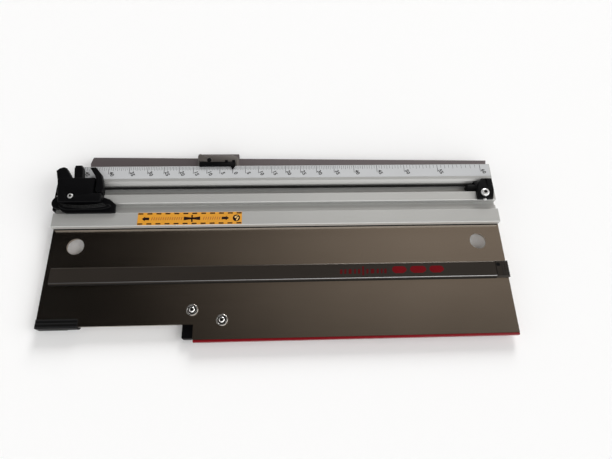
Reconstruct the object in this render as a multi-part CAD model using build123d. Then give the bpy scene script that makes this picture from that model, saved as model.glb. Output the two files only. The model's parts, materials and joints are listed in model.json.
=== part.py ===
"""Cross-cut guide for a hand-held tile and panel saw, in millimetres.

+X runs along the rail, +Y to the back and +Z up. The origin is under the middle of the guide rib, on the
underside of the front grip strip, which is the plane that lies on the work.
"""
from build123d import *
import math
import os

# ---- Driving dimensions -------------------------------------------------------------------------

RAIL_LENGTH = 540.0

GRIP_THICKNESS = 2.5
PLATE_THICKNESS = 3.0
STOP_HANG = 6.0              # how far the stops reach below the work plane

BED_FRONT = 75.0             # rib centre line to the front edge of the steel bed
RAIL_FRONT = 59.0            # rib centre line to the front of the extrusion
PLATE_TUCK = 13.0            # how far the bed runs under the extrusion

NOTCH_LENGTH = 172.0         # blade notch, along X from the left end
NOTCH_DEPTH = 17.0
HANG_HOLE_D = 20.0
HANG_HOLE_INSET = 29.0
HANG_HOLE_Y = 37.0

FRONT_BEAM_WIDTH = 18.0
STEP_WIDTH = 7.0
GROOVE_WIDTH = 5.0
RIDGE_WIDTH = 12.0
RECESS_WIDTH = 14.0
BEVEL_WIDTH = 7.0
SCALE_BED_WIDTH = 18.0
BEAM_HEIGHT = 8.0            # front beam and ridge, above the bed plate
SCALE_RISE = 1.0             # scale face, above the front beam
WALL = 1.8
EDGE_BREAK = 0.8
REAR_NOTCH_LENGTH = 23.0     # the rear beam stops short of the left end
STRIP_WIDTH_LEFT = 18.9      # rear guide strip, which narrows to the right
STRIP_WIDTH_RIGHT = 10.6
STRIP_INSET = 32.0           # strip's left end from the rail's
STRIP_T = 1.5

RIB_WIDTH = 20.0
RIB_HEIGHT = 4.0
RIB_CAP_LENGTH = 15.0
RIB_INSET = 7.0              # the rib starts inside the bed's left edge

GUARD_PROUD = 2.5            # red guard in front of the bed edge
GUARD_TUCK = 14.0
FOOT_LENGTH = 46.0
FOOT_SHALLOW = 15.0          # right part of the foot, which hangs less
FOOT_WRAP = 9.0
FOOT_FRONT = 1.2

TANGENT_BASE = 182.4         # front stop to rear stop, across the rail
STOP_BUSH_D = 14.4
STOP_SCREW_D = 5.0
CUP_WASHER_D = 12.8
STOP_SCREW_SPREAD_X = 33.7
STOP_SCREW_SPREAD_Y = 12.1
STOP_FROM_NOTCH = 31.9       # notch edge to the front stop's axis
STOP_FROM_FRONT = 21.3

CORD_D = 3.0
PULLEY_PITCH_R = 7.5
PULLEY_HEIGHT = 5.6
PULLEY_INSET = 12.0
PULLEY_AXLE_D = 4.0

CARRIAGE_RISE = 9.5          # carriage top, above the scale face
HORN_GAP = 3.0               # horns, above the scale face
END_BLOCK_RISE = 5.0         # end block top, above the scale face
SLIDER_DROP = 2.5            # slider top, below the scale face

RUN_GAP = 0.3                # between parts of different moving bodies
FIT_GAP = 0.05               # pin in its hole, on the radius
THREAD_GAP = 0.02            # screw in its thread or a pressed pin, on the radius
FOIL = 0.2                   # printed foils

# ---- Derived datums -----------------------------------------------------------------------------

X_LEFT = -RAIL_LENGTH / 2
X_RIGHT = RAIL_LENGTH / 2

Z_PLATE = GRIP_THICKNESS + PLATE_THICKNESS
Z_BEAM = Z_PLATE + BEAM_HEIGHT
Z_SCALE = Z_BEAM + SCALE_RISE
Z_FLOOR = GRIP_THICKNESS + 2.5
Z_LIP = Z_BEAM - WALL
Z_STEP = Z_PLATE + 3.0
Z_GROOVE = Z_PLATE + 0.5
FLANGE_TOP = GRIP_THICKNESS + 1.2
STRIP_TOP = FLANGE_TOP + STRIP_T
FOOT_TOP = Z_PLATE + 1.2

Y_BED = -BED_FRONT
Y_NOTCH = Y_BED + NOTCH_DEPTH
Y_RAIL = RAIL_FRONT
Y_STEP = Y_RAIL + FRONT_BEAM_WIDTH
Y_GROOVE = Y_STEP + STEP_WIDTH
Y_RIDGE = Y_GROOVE + GROOVE_WIDTH
Y_RECESS = Y_RIDGE + RIDGE_WIDTH
Y_BEVEL = Y_RECESS + RECESS_WIDTH
Y_SCALE = Y_BEVEL + BEVEL_WIDTH
Y_REAR = Y_SCALE + SCALE_BED_WIDTH
Y_STRIP = Y_REAR + STRIP_WIDTH_LEFT

X_NOTCH = X_LEFT + NOTCH_LENGTH
STOP_X = X_NOTCH + STOP_FROM_NOTCH
STOP_Y = Y_BED + STOP_FROM_FRONT
REAR_STOP_Y = STOP_Y + TANGENT_BASE
CONTACT_X = STOP_X + STOP_BUSH_D / 2

PULLEY_X = X_LEFT + PULLEY_INSET
CORD_Y = Y_BEVEL - 1.2 - CORD_D / 2
PULLEY_Y = CORD_Y - PULLEY_PITCH_R
RETURN_Y = PULLEY_Y - PULLEY_PITCH_R
PULLEY_Z = Z_FLOOR + 0.6
CORD_Z = PULLEY_Z + PULLEY_HEIGHT / 2

Z_CARRIAGE = Z_SCALE + CARRIAGE_RISE
Z_HORN = Z_SCALE + HORN_GAP
Z_SLIDE = Z_BEAM + RUN_GAP


# ---- Shape helpers ------------------------------------------------------------------------------

def block(x0, x1, y0, y1, z0, z1):
    """A box between two corners."""
    size = (x1 - x0, y1 - y0, z1 - z0)
    return Pos((x0 + x1) / 2, (y0 + y1) / 2, (z0 + z1) / 2) * Box(*size)


def rod(x, y, z0, z1, radius):
    """An upright cylinder."""
    return Pos(x, y, (z0 + z1) / 2) * Cylinder(radius, z1 - z0)


def rod_x(x0, x1, y, z, radius):
    """A cylinder along X."""
    return Pos((x0 + x1) / 2, y, z) * Rot(0, 90, 0) * Cylinder(radius, x1 - x0)


def rod_y(y0, y1, x, z, radius):
    """A cylinder along Y."""
    return Pos(x, (y0 + y1) / 2, z) * Rot(90, 0, 0) * Cylinder(radius, y1 - y0)


def cone(x, y, z0, z1, r0, r1):
    """An upright cone, r0 at z0 and r1 at z1."""
    return Pos(x, y, (z0 + z1) / 2) * Cone(r0, r1, z1 - z0)


def plate(points, z0, z1):
    """An upright prism over a closed outline in X and Y."""
    face = make_face(Polyline(*points, close=True))
    return Pos(0, 0, z0) * extrude(face, z1 - z0)


def bar(points, x0, x1):
    """A prism along X from a closed outline in Y and Z."""
    outline = Polyline(*[(0, y, z) for y, z in points], close=True)
    return Pos(x0, 0, 0) * extrude(make_face(outline), x1 - x0, dir=(1, 0, 0))


def top_edges(shape, radius):
    """Round the edges of a part's highest flat face."""
    return fillet(shape.faces().sort_by(Axis.Z)[-1].edges(), radius)


def upright_edges(shape, radius):
    """Round a part's upright edges."""
    return fillet(shape.edges().filter_by(Axis.Z), radius)


def hexagon(x, y, z0, z1, across):
    """An upright hexagonal prism, for nuts and for sockets."""
    outline = Pos(x, y, z0) * RegularPolygon(across / math.sqrt(3), 6)
    return extrude(outline, z1 - z0)


def button_screw(x, y, z_seat, head_d, head_h, shank_d, shank_l):
    """A button-head screw seated at z_seat, pointing down."""
    head = rod(x, y, z_seat, z_seat + head_h, head_d / 2)
    head = fillet(head.edges().sort_by(Axis.Z)[-1], head_h * 0.7)
    shank = rod(x, y, z_seat - shank_l, z_seat, shank_d / 2)
    z_top = z_seat + head_h
    return head + shank - hexagon(x, y, z_top - head_h * 0.6, z_top + 1, head_d * 0.4)


def flush_screw(x, y, z_head, head_d, shank_d, length, up=True):
    """A countersunk screw whose flat head is at z_head, pointing up or down."""
    rise = (head_d - shank_d) / 2
    if up:
        screw = cone(x, y, z_head, z_head + rise, head_d / 2, shank_d / 2)
        return screw + rod(x, y, z_head + rise, z_head + length, shank_d / 2)
    screw = cone(x, y, z_head - rise, z_head, shank_d / 2, head_d / 2)
    return screw + rod(x, y, z_head - length, z_head - rise, shank_d / 2)


def sink(x, y, z_head, head_d, shank_d, length, up=True):
    """The hole for a flush screw, a fit gap larger all round."""
    wide = 2 * FIT_GAP
    return flush_screw(x, y, z_head, head_d + wide, shank_d + wide, length, up)


def save(name, *solids):
    """Write one node from its separate solids."""
    shapes = [s for item in solids for s in item.solids()]
    shape = shapes[0] if len(shapes) == 1 else Compound(children=shapes)
    export_step(shape, f"parts/{name}.step")


# ---- Bed ----------------------------------------------------------------------------------------

RIB_SCREW_PITCH = (RAIL_LENGTH - 60) / 5
RIB_SCREWS_X = [X_LEFT + 30 + RIB_SCREW_PITCH * i for i in range(6)]
BED_SCREW_PITCH = (RAIL_LENGTH - 50) / 4
BED_SCREWS_X = [X_LEFT + 25 + BED_SCREW_PITCH * i for i in range(5)]
BED_SCREWS_Y = Y_RAIL + PLATE_TUCK / 2
SCREW_HEAD_D = 6.0
SCREW_D = 3.0
RIB_SCREW_L = PLATE_THICKNESS + RIB_HEIGHT - 1.2
BED_SCREW_L = PLATE_THICKNESS + 1.6

STOP_LEFT = X_NOTCH - 12.5
STOP_RIGHT = STOP_X + 1.0
STOP_FRONT = Y_BED + 2.0
STOP_BACK = STOP_Y + STOP_SCREW_SPREAD_Y + 9
STOP_TOP = GRIP_THICKNESS - 0.05
STOP_SCREWS = [(STOP_X, STOP_Y), (STOP_X - STOP_SCREW_SPREAD_X, STOP_Y + STOP_SCREW_SPREAD_Y)]
STOP_SCREW_HOLE_D = STOP_SCREW_D + 0.2


def bed_plate():
    """Steel bed: notched front-left, two hanging holes, and holes for its screws."""
    bed = block(X_LEFT, X_RIGHT, Y_BED, Y_RAIL + PLATE_TUCK, GRIP_THICKNESS, Z_PLATE)
    bed -= block(X_LEFT - 1, X_NOTCH, Y_BED - 1, Y_NOTCH, 0, Z_PLATE + 1)
    for x in (X_LEFT + HANG_HOLE_INSET, X_RIGHT - HANG_HOLE_INSET):
        bed -= rod(x, HANG_HOLE_Y, 0, Z_PLATE + 1, HANG_HOLE_D / 2)
    for x, y in STOP_SCREWS:
        bed -= rod(x, y, 0, Z_PLATE + 1, STOP_SCREW_HOLE_D / 2)
    for x in RIB_SCREWS_X:
        bed -= sink(x, 0, GRIP_THICKNESS, SCREW_HEAD_D, SCREW_D, RIB_SCREW_L)
    for x in BED_SCREWS_X:
        bed -= sink(x, BED_SCREWS_Y, GRIP_THICKNESS, SCREW_HEAD_D, SCREW_D, BED_SCREW_L)
    return bed


def splinter_guard():
    """Red plastic edge that backs the cut, glued under the bed with a lip in front of it."""
    front = Y_BED - GUARD_PROUD
    lip = block(X_NOTCH + 0.5, X_RIGHT, front, Y_BED, 0, Z_PLATE - 0.5)
    beside = block(X_NOTCH + 0.5, X_RIGHT, front, STOP_FRONT - RUN_GAP, 0, GRIP_THICKNESS)
    foot = block(STOP_RIGHT + RUN_GAP, X_RIGHT, front, Y_BED + GUARD_TUCK, 0, GRIP_THICKNESS)
    return lip + beside + foot


def grip_strip(y, width):
    """Soft strip glued under the bed."""
    strip = block(X_LEFT + 8, X_RIGHT - 8, y - width / 2, y + width / 2, 0, GRIP_THICKNESS)
    return upright_edges(strip, 2)


def corner_foot():
    """Moulded foot that grips the bed's front-left edge, deeper at its outer end."""
    x_step = X_LEFT + FOOT_LENGTH - FOOT_SHALLOW
    x1 = X_LEFT + FOOT_LENGTH
    front = Y_NOTCH - FOOT_FRONT
    back = Y_NOTCH + FOOT_WRAP
    outer = block(X_LEFT, x_step, front, back, -STOP_HANG, FOOT_TOP)
    inner = block(x_step, x1, front, back, -STOP_HANG + 2, FOOT_TOP)
    foot = outer + inner
    foot = chamfer(foot.edges().filter_by(Axis.Z).sort_by(Axis.X)[-2:], 1.5)
    return foot - block(X_LEFT - 1, x1 + 1, Y_NOTCH, back + 1, GRIP_THICKNESS, Z_PLATE)


# ---- Guide rib ----------------------------------------------------------------------------------

RIB_X0 = X_LEFT + RIB_INSET
RIB_X1 = X_RIGHT - RIB_CAP_LENGTH
RIB_TOP = Z_PLATE + RIB_HEIGHT
RIB_SLOPE = 1.6
RIB_SCREW_TOP = GRIP_THICKNESS + RIB_SCREW_L + 0.2
CAP_TOP = RIB_TOP - 0.1
CAP_SCREW_X = X_RIGHT - RIB_CAP_LENGTH + 3.4
CAP_SCREW_Y = 5.0
CAP_SCREW_HEAD_D = 4.6
CAP_SCREW_D = 2.4


def rib_section():
    """Half-closed section of the rib: bevelled shoulders and a relieved underside."""
    half = RIB_WIDTH / 2
    slope = RIB_SLOPE
    foot = half - 4
    land = 3.5
    relief = Z_PLATE + 0.8
    return [
        (-half, Z_PLATE), (-half, RIB_TOP - slope), (-half + slope, RIB_TOP),
        (half - slope, RIB_TOP), (half, RIB_TOP - slope), (half, Z_PLATE),
        (foot, Z_PLATE), (foot, relief), (land, relief), (land, Z_PLATE),
        (-land, Z_PLATE), (-land, relief), (-foot, relief), (-foot, Z_PLATE),
    ]


def guide_rib():
    """Dark anodised rib that guides the saw, screwed on from below."""
    rib = bar(rib_section(), RIB_X0, RIB_X1)
    for x in RIB_SCREWS_X:
        if x < RIB_X1 - 3:
            rib -= rod(x, 0, Z_PLATE - 1, RIB_SCREW_TOP, SCREW_D / 2 + FIT_GAP)
    return rib


def rib_cap():
    """Moulded end piece of the rib, with a textured top and its own small screw."""
    half = RIB_WIDTH / 2
    cap = block(RIB_X1, X_RIGHT + 1.0, -half, half, Z_PLATE, CAP_TOP)
    cap = chamfer(cap.faces().sort_by(Axis.Z)[-1].edges(), 1.2)
    cap -= sink(CAP_SCREW_X, CAP_SCREW_Y, CAP_TOP, CAP_SCREW_HEAD_D, CAP_SCREW_D, RIB_HEIGHT, up=False)
    last = RIB_SCREWS_X[-1]
    if last > RIB_X1 - 3:
        cap -= rod(last, 0, Z_PLATE - 1, RIB_SCREW_TOP, SCREW_D / 2 + FIT_GAP)
    return cap


def rib_cap_screw():
    """Countersunk screw that holds the cap on the bed."""
    return flush_screw(CAP_SCREW_X, CAP_SCREW_Y, CAP_TOP, CAP_SCREW_HEAD_D, CAP_SCREW_D, RIB_HEIGHT - 0.2,
                       up=False)


# ---- Front stop ---------------------------------------------------------------------------------

NUT_HEIGHT = 3.2
NUT_RECESS = 0.4
NUT_ACROSS = 8.0
WASHER_FLOOR = Z_PLATE + 0.6
WASHER_TOP = Z_PLATE + 1.6
WASHER_RIM = 1.5
STOP_HEAD_D = STOP_SCREW_D + 1.8
STOP_HEAD_H = 2.4


def front_stop_block():
    """Moulded block under the notch corner that locates the front stop bush."""
    stop = block(STOP_LEFT, STOP_RIGHT, STOP_FRONT, STOP_BACK, -STOP_HANG, STOP_TOP)
    stop = upright_edges(stop, 1.5)
    stop -= rod(STOP_X, STOP_Y, -STOP_HANG - 1, STOP_TOP + 1, STOP_BUSH_D / 2 + 0.1)
    x, y = STOP_SCREWS[1]
    stop -= rod(x, y, -STOP_HANG - 1, STOP_TOP + 1, STOP_SCREW_HOLE_D / 2)
    stop -= nut_pocket(x, y)
    for i in range(3):
        x0 = STOP_LEFT + 5 + 9 * i
        stop -= block(x0, x0 + 5, STOP_FRONT + 3, STOP_FRONT + 15, -STOP_HANG - 1, -1)
    return stop


def nut_pocket(x, y):
    """Room under a stop for its nut, sunk so that the nut never touches the bench."""
    return hexagon(x, y, -STOP_HANG - 1, -STOP_HANG + NUT_RECESS + NUT_HEIGHT, NUT_ACROSS + 0.2)


def front_stop_bush():
    """Round stop that the work's edge touches, bored for its screw and nut."""
    bush = rod(STOP_X, STOP_Y, -STOP_HANG, STOP_TOP, STOP_BUSH_D / 2)
    bush = chamfer(bush.edges().filter_by(GeomType.CIRCLE), 0.5)
    bush -= rod(STOP_X, STOP_Y, -STOP_HANG - 1, STOP_TOP + 1, STOP_SCREW_HOLE_D / 2)
    return bush - nut_pocket(STOP_X, STOP_Y)


def cup_washer(x, y):
    """Turned steel cup washer with a raised rim."""
    washer = rod(x, y, Z_PLATE, WASHER_TOP, CUP_WASHER_D / 2)
    washer -= rod(x, y, WASHER_FLOOR, WASHER_TOP + 1, CUP_WASHER_D / 2 - WASHER_RIM)
    washer -= rod(x, y, Z_PLATE - 1, WASHER_TOP + 1, STOP_SCREW_HOLE_D / 2)
    return washer


def stop_screw(x, y):
    """Socket screw through the cup washer, bed and stop."""
    length = WASHER_FLOOR + STOP_HANG - NUT_RECESS
    return button_screw(x, y, WASHER_FLOOR, STOP_HEAD_D, STOP_HEAD_H, STOP_SCREW_D, length)


def stop_nut(x, y):
    """Plain hexagon nut in its pocket."""
    z0 = -STOP_HANG + NUT_RECESS
    nut = hexagon(x, y, z0, z0 + NUT_HEIGHT, NUT_ACROSS)
    return nut - rod(x, y, z0 - 1, z0 + NUT_HEIGHT + 1, STOP_SCREW_D / 2 + THREAD_GAP)


# ---- Extrusion ----------------------------------------------------------------------------------

FLANGE_X0 = X_LEFT + STRIP_INSET
FLANGE_X1 = X_RIGHT + 1.0
FLANGE_RIVET_PITCH = (FLANGE_X1 - FLANGE_X0 - 16) / 5
FLANGE_RIVETS_X = [FLANGE_X0 + 8 + FLANGE_RIVET_PITCH * i for i in range(6)]
FLANGE_RIVETS_Y = Y_REAR + 3
RIVET_D = 2.4
LABEL_LENGTH = 124.0
LABEL_WIDTH = FRONT_BEAM_WIDTH - 2 * EDGE_BREAK - 0.2
LABEL_X0 = X_NOTCH - 72.0


def rail_outline():
    """Outer outline of the extrusion: front beam, step, groove, ridge, recess, rear beam, flange."""
    e = EDGE_BREAK
    y_plate = Y_RAIL + PLATE_TUCK + 0.1
    return [
        (Y_RAIL, Z_PLATE), (Y_RAIL, Z_BEAM - e), (Y_RAIL + e, Z_BEAM),
        (Y_STEP - e, Z_BEAM), (Y_STEP, Z_BEAM - e), (Y_STEP, Z_STEP),
        (Y_GROOVE, Z_STEP), (Y_GROOVE, Z_GROOVE), (Y_RIDGE, Z_GROOVE),
        (Y_RIDGE, Z_BEAM - e), (Y_RIDGE + e, Z_BEAM), (Y_RECESS - 0.3, Z_BEAM),
        (Y_RECESS, Z_BEAM - 0.3), (Y_RECESS, Z_LIP), (Y_RIDGE + WALL, Z_LIP),
        (Y_RIDGE + WALL, Z_FLOOR), (Y_BEVEL, Z_FLOOR), (Y_BEVEL, Z_SCALE - 4.5),
        (Y_BEVEL + 1.5, Z_SCALE - 2.2), (Y_BEVEL + 4, Z_SCALE - 0.7), (Y_SCALE, Z_SCALE),
        (Y_SCALE + 0.3, Z_SCALE), (Y_SCALE + 0.3, Z_SCALE - FOIL), (Y_REAR - 0.4, Z_SCALE - FOIL),
        (Y_REAR - 0.4, Z_SCALE), (Y_REAR, Z_SCALE - 0.4), (Y_REAR, FLANGE_TOP),
        (Y_REAR + 6, FLANGE_TOP), (Y_REAR + 6, GRIP_THICKNESS), (y_plate, GRIP_THICKNESS),
        (y_plate, Z_PLATE),
    ]


def rail_extrusion():
    """Aluminium extrusion with two hollow beams and a channel that is open behind the ridge."""
    rail = bar(rail_outline(), X_LEFT, X_RIGHT)
    w = WALL
    front = [(Y_RAIL + w, Z_PLATE + w), (Y_RAIL + w, Z_BEAM - w), (Y_STEP - w, Z_BEAM - w),
             (Y_STEP - w, Z_PLATE + w)]
    rear = [(Y_BEVEL + w, GRIP_THICKNESS + w), (Y_BEVEL + w, Z_SCALE - 5.2),
            (Y_SCALE + 0.8, Z_SCALE - w - 0.2), (Y_REAR - w, Z_SCALE - w - 0.2),
            (Y_REAR - w, GRIP_THICKNESS + w)]
    for hollow in (front, rear):
        rail -= bar(hollow, X_LEFT - 1, X_RIGHT + 1)
    rail -= block(X_LEFT - 1, X_LEFT + REAR_NOTCH_LENGTH, Y_BEVEL + w, Y_STRIP, 0, Z_SCALE + 1)
    rail -= rod(PULLEY_X, PULLEY_Y, 0, Z_FLOOR + 1, PULLEY_AXLE_D / 2)
    rail -= rod(BLOCK_SCREW_X, BLOCK_SCREW_Y, Z_LIP - 1, Z_BEAM + 1, BLOCK_SCREW_D / 2 + 0.3)
    for x in BED_SCREWS_X:
        rail -= rod(x, BED_SCREWS_Y, Z_PLATE - 1, GRIP_THICKNESS + BED_SCREW_L + 0.1,
                    SCREW_D / 2 + FIT_GAP)
    for x in FLANGE_RIVETS_X:
        rail -= rod(x, FLANGE_RIVETS_Y, 0, Z_FLOOR, RIVET_D / 2)
    return rail


def rear_guide_strip():
    """Steel strip behind the scale that the rear stop slides and clamps on, narrower to the right."""
    strip = plate([
        (FLANGE_X0, Y_REAR), (FLANGE_X1 - 2, Y_REAR), (FLANGE_X1, Y_REAR + STRIP_WIDTH_RIGHT),
        (FLANGE_X0 + 1.0, Y_STRIP), (FLANGE_X0 - 1.5, Y_REAR + 10)], FLANGE_TOP, STRIP_TOP)
    for x in FLANGE_RIVETS_X:
        strip -= rod(x, FLANGE_RIVETS_Y, 0, STRIP_TOP + 1, RIVET_D / 2)
    return strip


def flange_rivets():
    """Flush rivets that hold the steel strip to the extrusion's flange."""
    return [rod(x, FLANGE_RIVETS_Y, GRIP_THICKNESS, STRIP_TOP, RIVET_D / 2) for x in FLANGE_RIVETS_X]


def angle_scale():
    """Printed foil in its shallow seat on the rear beam."""
    x0 = X_LEFT + REAR_NOTCH_LENGTH + 1
    y0 = Y_SCALE + 0.5
    return block(x0, X_RIGHT - 1, y0, Y_REAR - 0.6, Z_SCALE - FOIL, Z_SCALE)


def park_label():
    """Printed foil on the front beam that marks where the saw is parked."""
    y0 = Y_RAIL + EDGE_BREAK + 0.1
    return block(LABEL_X0, LABEL_X0 + LABEL_LENGTH, y0, y0 + LABEL_WIDTH, Z_BEAM, Z_BEAM + FOIL)


# ---- Left end: cap and pulley -------------------------------------------------------------------

CAP_LOBE_R = 9.0
CAP_LOBE_X = X_LEFT + CAP_LOBE_R - 3.5
CAP_LOBE_Y = Y_RIDGE + 0.6
PULLEY_BUSH_R = PULLEY_AXLE_D / 2 + 1.0


def left_end_cap():
    """Moulded cap on the channel's left end, with a rounded lobe and a plug in the channel."""
    y0 = Y_GROOVE - 3.0
    y1 = Y_BEVEL + 1.0
    cap = block(X_LEFT - 2.0, X_LEFT, y0, y1, Z_PLATE - 2, Z_BEAM)
    lobe = rod(CAP_LOBE_X, CAP_LOBE_Y, Z_PLATE - 2, Z_BEAM, CAP_LOBE_R)
    lobe -= block(X_LEFT, X_LEFT + 40, y0 - 20, y1, 0, Z_BEAM + 5)
    plug = block(X_LEFT, X_LEFT + 2.0, Y_RIDGE + WALL + 0.2, Y_BEVEL - 0.2, Z_FLOOR + 0.1, Z_LIP - 0.1)
    return cap + lobe + plug


def pulley_axle():
    """Shouldered steel axle pressed into the channel floor."""
    z_head = PULLEY_Z + PULLEY_HEIGHT + 0.2
    axle = rod(PULLEY_X, PULLEY_Y, GRIP_THICKNESS, z_head, PULLEY_AXLE_D / 2)
    return axle + rod(PULLEY_X, PULLEY_Y, z_head, z_head + 0.8, PULLEY_AXLE_D / 2 + 1.2)


def pulley():
    """Grooved pulley that turns the cord back under the ridge."""
    flange_r = PULLEY_PITCH_R + 0.3
    wheel = rod(PULLEY_X, PULLEY_Y, PULLEY_Z, PULLEY_Z + PULLEY_HEIGHT, flange_r)
    groove = Pos(PULLEY_X, PULLEY_Y, CORD_Z) * Torus(PULLEY_PITCH_R, CORD_D / 2 + 0.2)
    return wheel - groove - rod(PULLEY_X, PULLEY_Y, 0, 20, PULLEY_BUSH_R)


def pulley_bush():
    """Bronze bush pressed into the pulley, running on the axle."""
    bush = rod(PULLEY_X, PULLEY_Y, PULLEY_Z, PULLEY_Z + PULLEY_HEIGHT, PULLEY_BUSH_R)
    return bush - rod(PULLEY_X, PULLEY_Y, 0, 20, PULLEY_AXLE_D / 2 + FIT_GAP)


# ---- Right end: block that anchors the cord -----------------------------------------------------

BLOCK_X0 = X_RIGHT - 23.7
BLOCK_SCREW_X = X_RIGHT - 15.0
BLOCK_SCREW_Y = Y_RIDGE + 7.0
BLOCK_SCREW_D = 5.0
BLOCK_NUT_T = 3.4
BLOCK_NUT_HALF = 4.2
BLOCK_TOP = Z_SCALE + END_BLOCK_RISE
BLOCK_SPLIT = Z_SCALE + 0.1  # head above, legs below
CORD_GRIP = 8.0
CORD_X1 = BLOCK_X0 + CORD_GRIP
FERRULE_LENGTH = 6.0
FERRULE_R = CORD_D / 2 + 0.6
SET_SCREW_X = BLOCK_SCREW_X - 0.5
SET_SCREW_Y0 = Y_RIDGE - 2.6
SET_SCREW_Y1 = BLOCK_SCREW_Y - 3.5
SET_SCREW_Z = BLOCK_TOP - 2.8
SET_SCREW_R = 2.1


def end_block():
    """Moulded block clamped on the ridge; its nose fills the recess and holds the cord."""
    head_points = [
        (BLOCK_X0, Y_RIDGE - 0.4), (X_RIGHT - 5.3, Y_RIDGE - 0.4), (X_RIGHT - 2.6, Y_RIDGE + 11),
        (X_RIGHT - 2.6, Y_BEVEL + 1.5), (X_RIGHT - 16, Y_BEVEL + 1.5), (X_RIGHT - 19.9, Y_BEVEL - 4.6),
        (BLOCK_X0, Y_RECESS - 1.5),
    ]
    head = top_edges(plate(head_points, BLOCK_SPLIT, BLOCK_TOP), 1.0)
    base = block(BLOCK_X0, X_RIGHT - 4, Y_RIDGE, Y_RECESS, Z_BEAM, BLOCK_SPLIT)
    leg = block(BLOCK_X0, X_RIGHT - 4, Y_RECESS + 0.1, Y_BEVEL - 0.1, Z_FLOOR, BLOCK_SPLIT)
    nose = block(X_RIGHT - 34, BLOCK_X0, Y_RECESS + 1.8, Y_RECESS + 9.0, Z_FLOOR, Z_BEAM + 0.6)
    nose = chamfer(nose.edges().filter_by(Axis.Y).sort_by(Axis.X)[0], 1.5)
    body = head + base + leg + nose
    body -= rod(BLOCK_SCREW_X, BLOCK_SCREW_Y, 0, 30, BLOCK_SCREW_D / 2 + 0.1)
    z_slot = BLOCK_TOP - 0.8
    body -= block(X_RIGHT - 11.6, X_RIGHT - 9.6, Y_RECESS + 2, Y_BEVEL + 1, z_slot, BLOCK_TOP + 1)
    body -= rod_y(SET_SCREW_Y0, SET_SCREW_Y1, SET_SCREW_X, SET_SCREW_Z, SET_SCREW_R + THREAD_GAP)
    body -= rod_x(BLOCK_X0 - 1, CORD_X1, CORD_Y, CORD_Z, CORD_D / 2 + FIT_GAP)
    body -= rod_x(CORD_X1, CORD_X1 + FERRULE_LENGTH + 0.1, CORD_Y, CORD_Z, FERRULE_R + FIT_GAP)
    return body


def cord_ferrule():
    """Crimped ferrule on the cord's fixed end, sealed in the end block."""
    ferrule = rod_x(CORD_X1, CORD_X1 + FERRULE_LENGTH, CORD_Y, CORD_Z, FERRULE_R)
    return chamfer(ferrule.edges().filter_by(GeomType.CIRCLE), 0.4)


def block_screw():
    """Button-head screw that clamps the end block through the ridge."""
    return button_screw(BLOCK_SCREW_X, BLOCK_SCREW_Y, BLOCK_TOP, 10.4, 2.9, BLOCK_SCREW_D,
                        BLOCK_TOP - Z_LIP + BLOCK_NUT_T - 0.5)


def block_nut():
    """Square nut in the channel under the ridge."""
    x0 = BLOCK_SCREW_X - BLOCK_NUT_HALF
    x1 = BLOCK_SCREW_X + BLOCK_NUT_HALF
    y0 = BLOCK_SCREW_Y - BLOCK_NUT_HALF
    y1 = BLOCK_SCREW_Y + BLOCK_NUT_HALF - 0.5
    nut = block(x0, x1, y0, y1, Z_LIP - BLOCK_NUT_T, Z_LIP)
    return nut - rod(BLOCK_SCREW_X, BLOCK_SCREW_Y, 0, 30, BLOCK_SCREW_D / 2 + THREAD_GAP)


def block_set_screw():
    """Set screw across the end block that locks the clamping screw."""
    x = SET_SCREW_X
    z = SET_SCREW_Z
    screw = rod_y(SET_SCREW_Y0, SET_SCREW_Y1, x, z, SET_SCREW_R)
    screw = chamfer(screw.edges().sort_by(Axis.Y)[0], 0.5)
    return screw - rod_y(SET_SCREW_Y0 - 1, SET_SCREW_Y0 + 1.2, x, z, SET_SCREW_R * 0.45)


# ---- Elastic cord -------------------------------------------------------------------------------

CORD_HOOK_X = PULLEY_X + 18.0


def cord_fixed_strand():
    """Cord from the end block along the recess and half way round the pulley."""
    run = Line((CORD_X1, CORD_Y, CORD_Z), (PULLEY_X, CORD_Y, CORD_Z))
    turn = ThreePointArc((PULLEY_X, CORD_Y, CORD_Z), (PULLEY_X - PULLEY_PITCH_R, PULLEY_Y, CORD_Z),
                         (PULLEY_X, RETURN_Y, CORD_Z))
    section = Plane(origin=run @ 0, z_dir=run % 0) * Circle(CORD_D / 2)
    return sweep(section, path=Wire([run, turn]))


def cord_return_strand():
    """Short stretch from the pulley to the carriage, which lengthens as the carriage travels."""
    return rod_x(PULLEY_X, CORD_HOOK_X, RETURN_Y, CORD_Z, CORD_D / 2)


# ---- Return carriage ----------------------------------------------------------------------------

BODY_X0 = X_LEFT + 6.0
BODY_X1 = X_LEFT + 58.5
BODY_Y0 = Y_GROOVE + 3.0
BODY_Y1 = Y_BEVEL + 4.5
BODY_RIGHT = BODY_X1 - 1.5
BOSS_R = 8.4                 # round bumper at the carriage's left end
SHOE_Y0 = Y_RAIL + 16.5
SHOE_RIGHT = X_LEFT + 73.5
SHOE_Z0 = Z_BEAM + FOIL + RUN_GAP
SHOE_SCREWS_X = (BODY_X0 + 17, BODY_X0 + 42)
SHOE_SCREW_Y = Y_GROOVE + RUN_GAP + 1.3
SHOE_SCREW_HEAD_D = 2.4
SHOE_SCREW_D = 1.4
SHOE_SCREW_L = 7.0
KEEL_Z0 = Z_GROOVE + RUN_GAP
LEVER_X = BODY_X1 - 5.5
LEVER_Y = Y_RECESS + 3.0
LEVER_PIN_D = 3.0
LEVER_BUSH_R = LEVER_PIN_D / 2 + 1.0
LEVER_Z0 = Z_HORN + RUN_GAP
LEVER_Z1 = Z_CARRIAGE - 0.4
LEVER_SEAT = LEVER_Z1 - 1.4  # closed top of the lever's bore
PIN_Z0 = Z_SLIDE + 0.6
BODY_SCREW_X = X_LEFT + 20.5
BODY_SCREW_Y = Y_RIDGE + 6.4
BODY_SCREW_D = 4.0
BODY_SCREW_SEAT = Z_CARRIAGE - 3.2
SPRING_R = 3.4
SPRING_WIRE = 0.8
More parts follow.
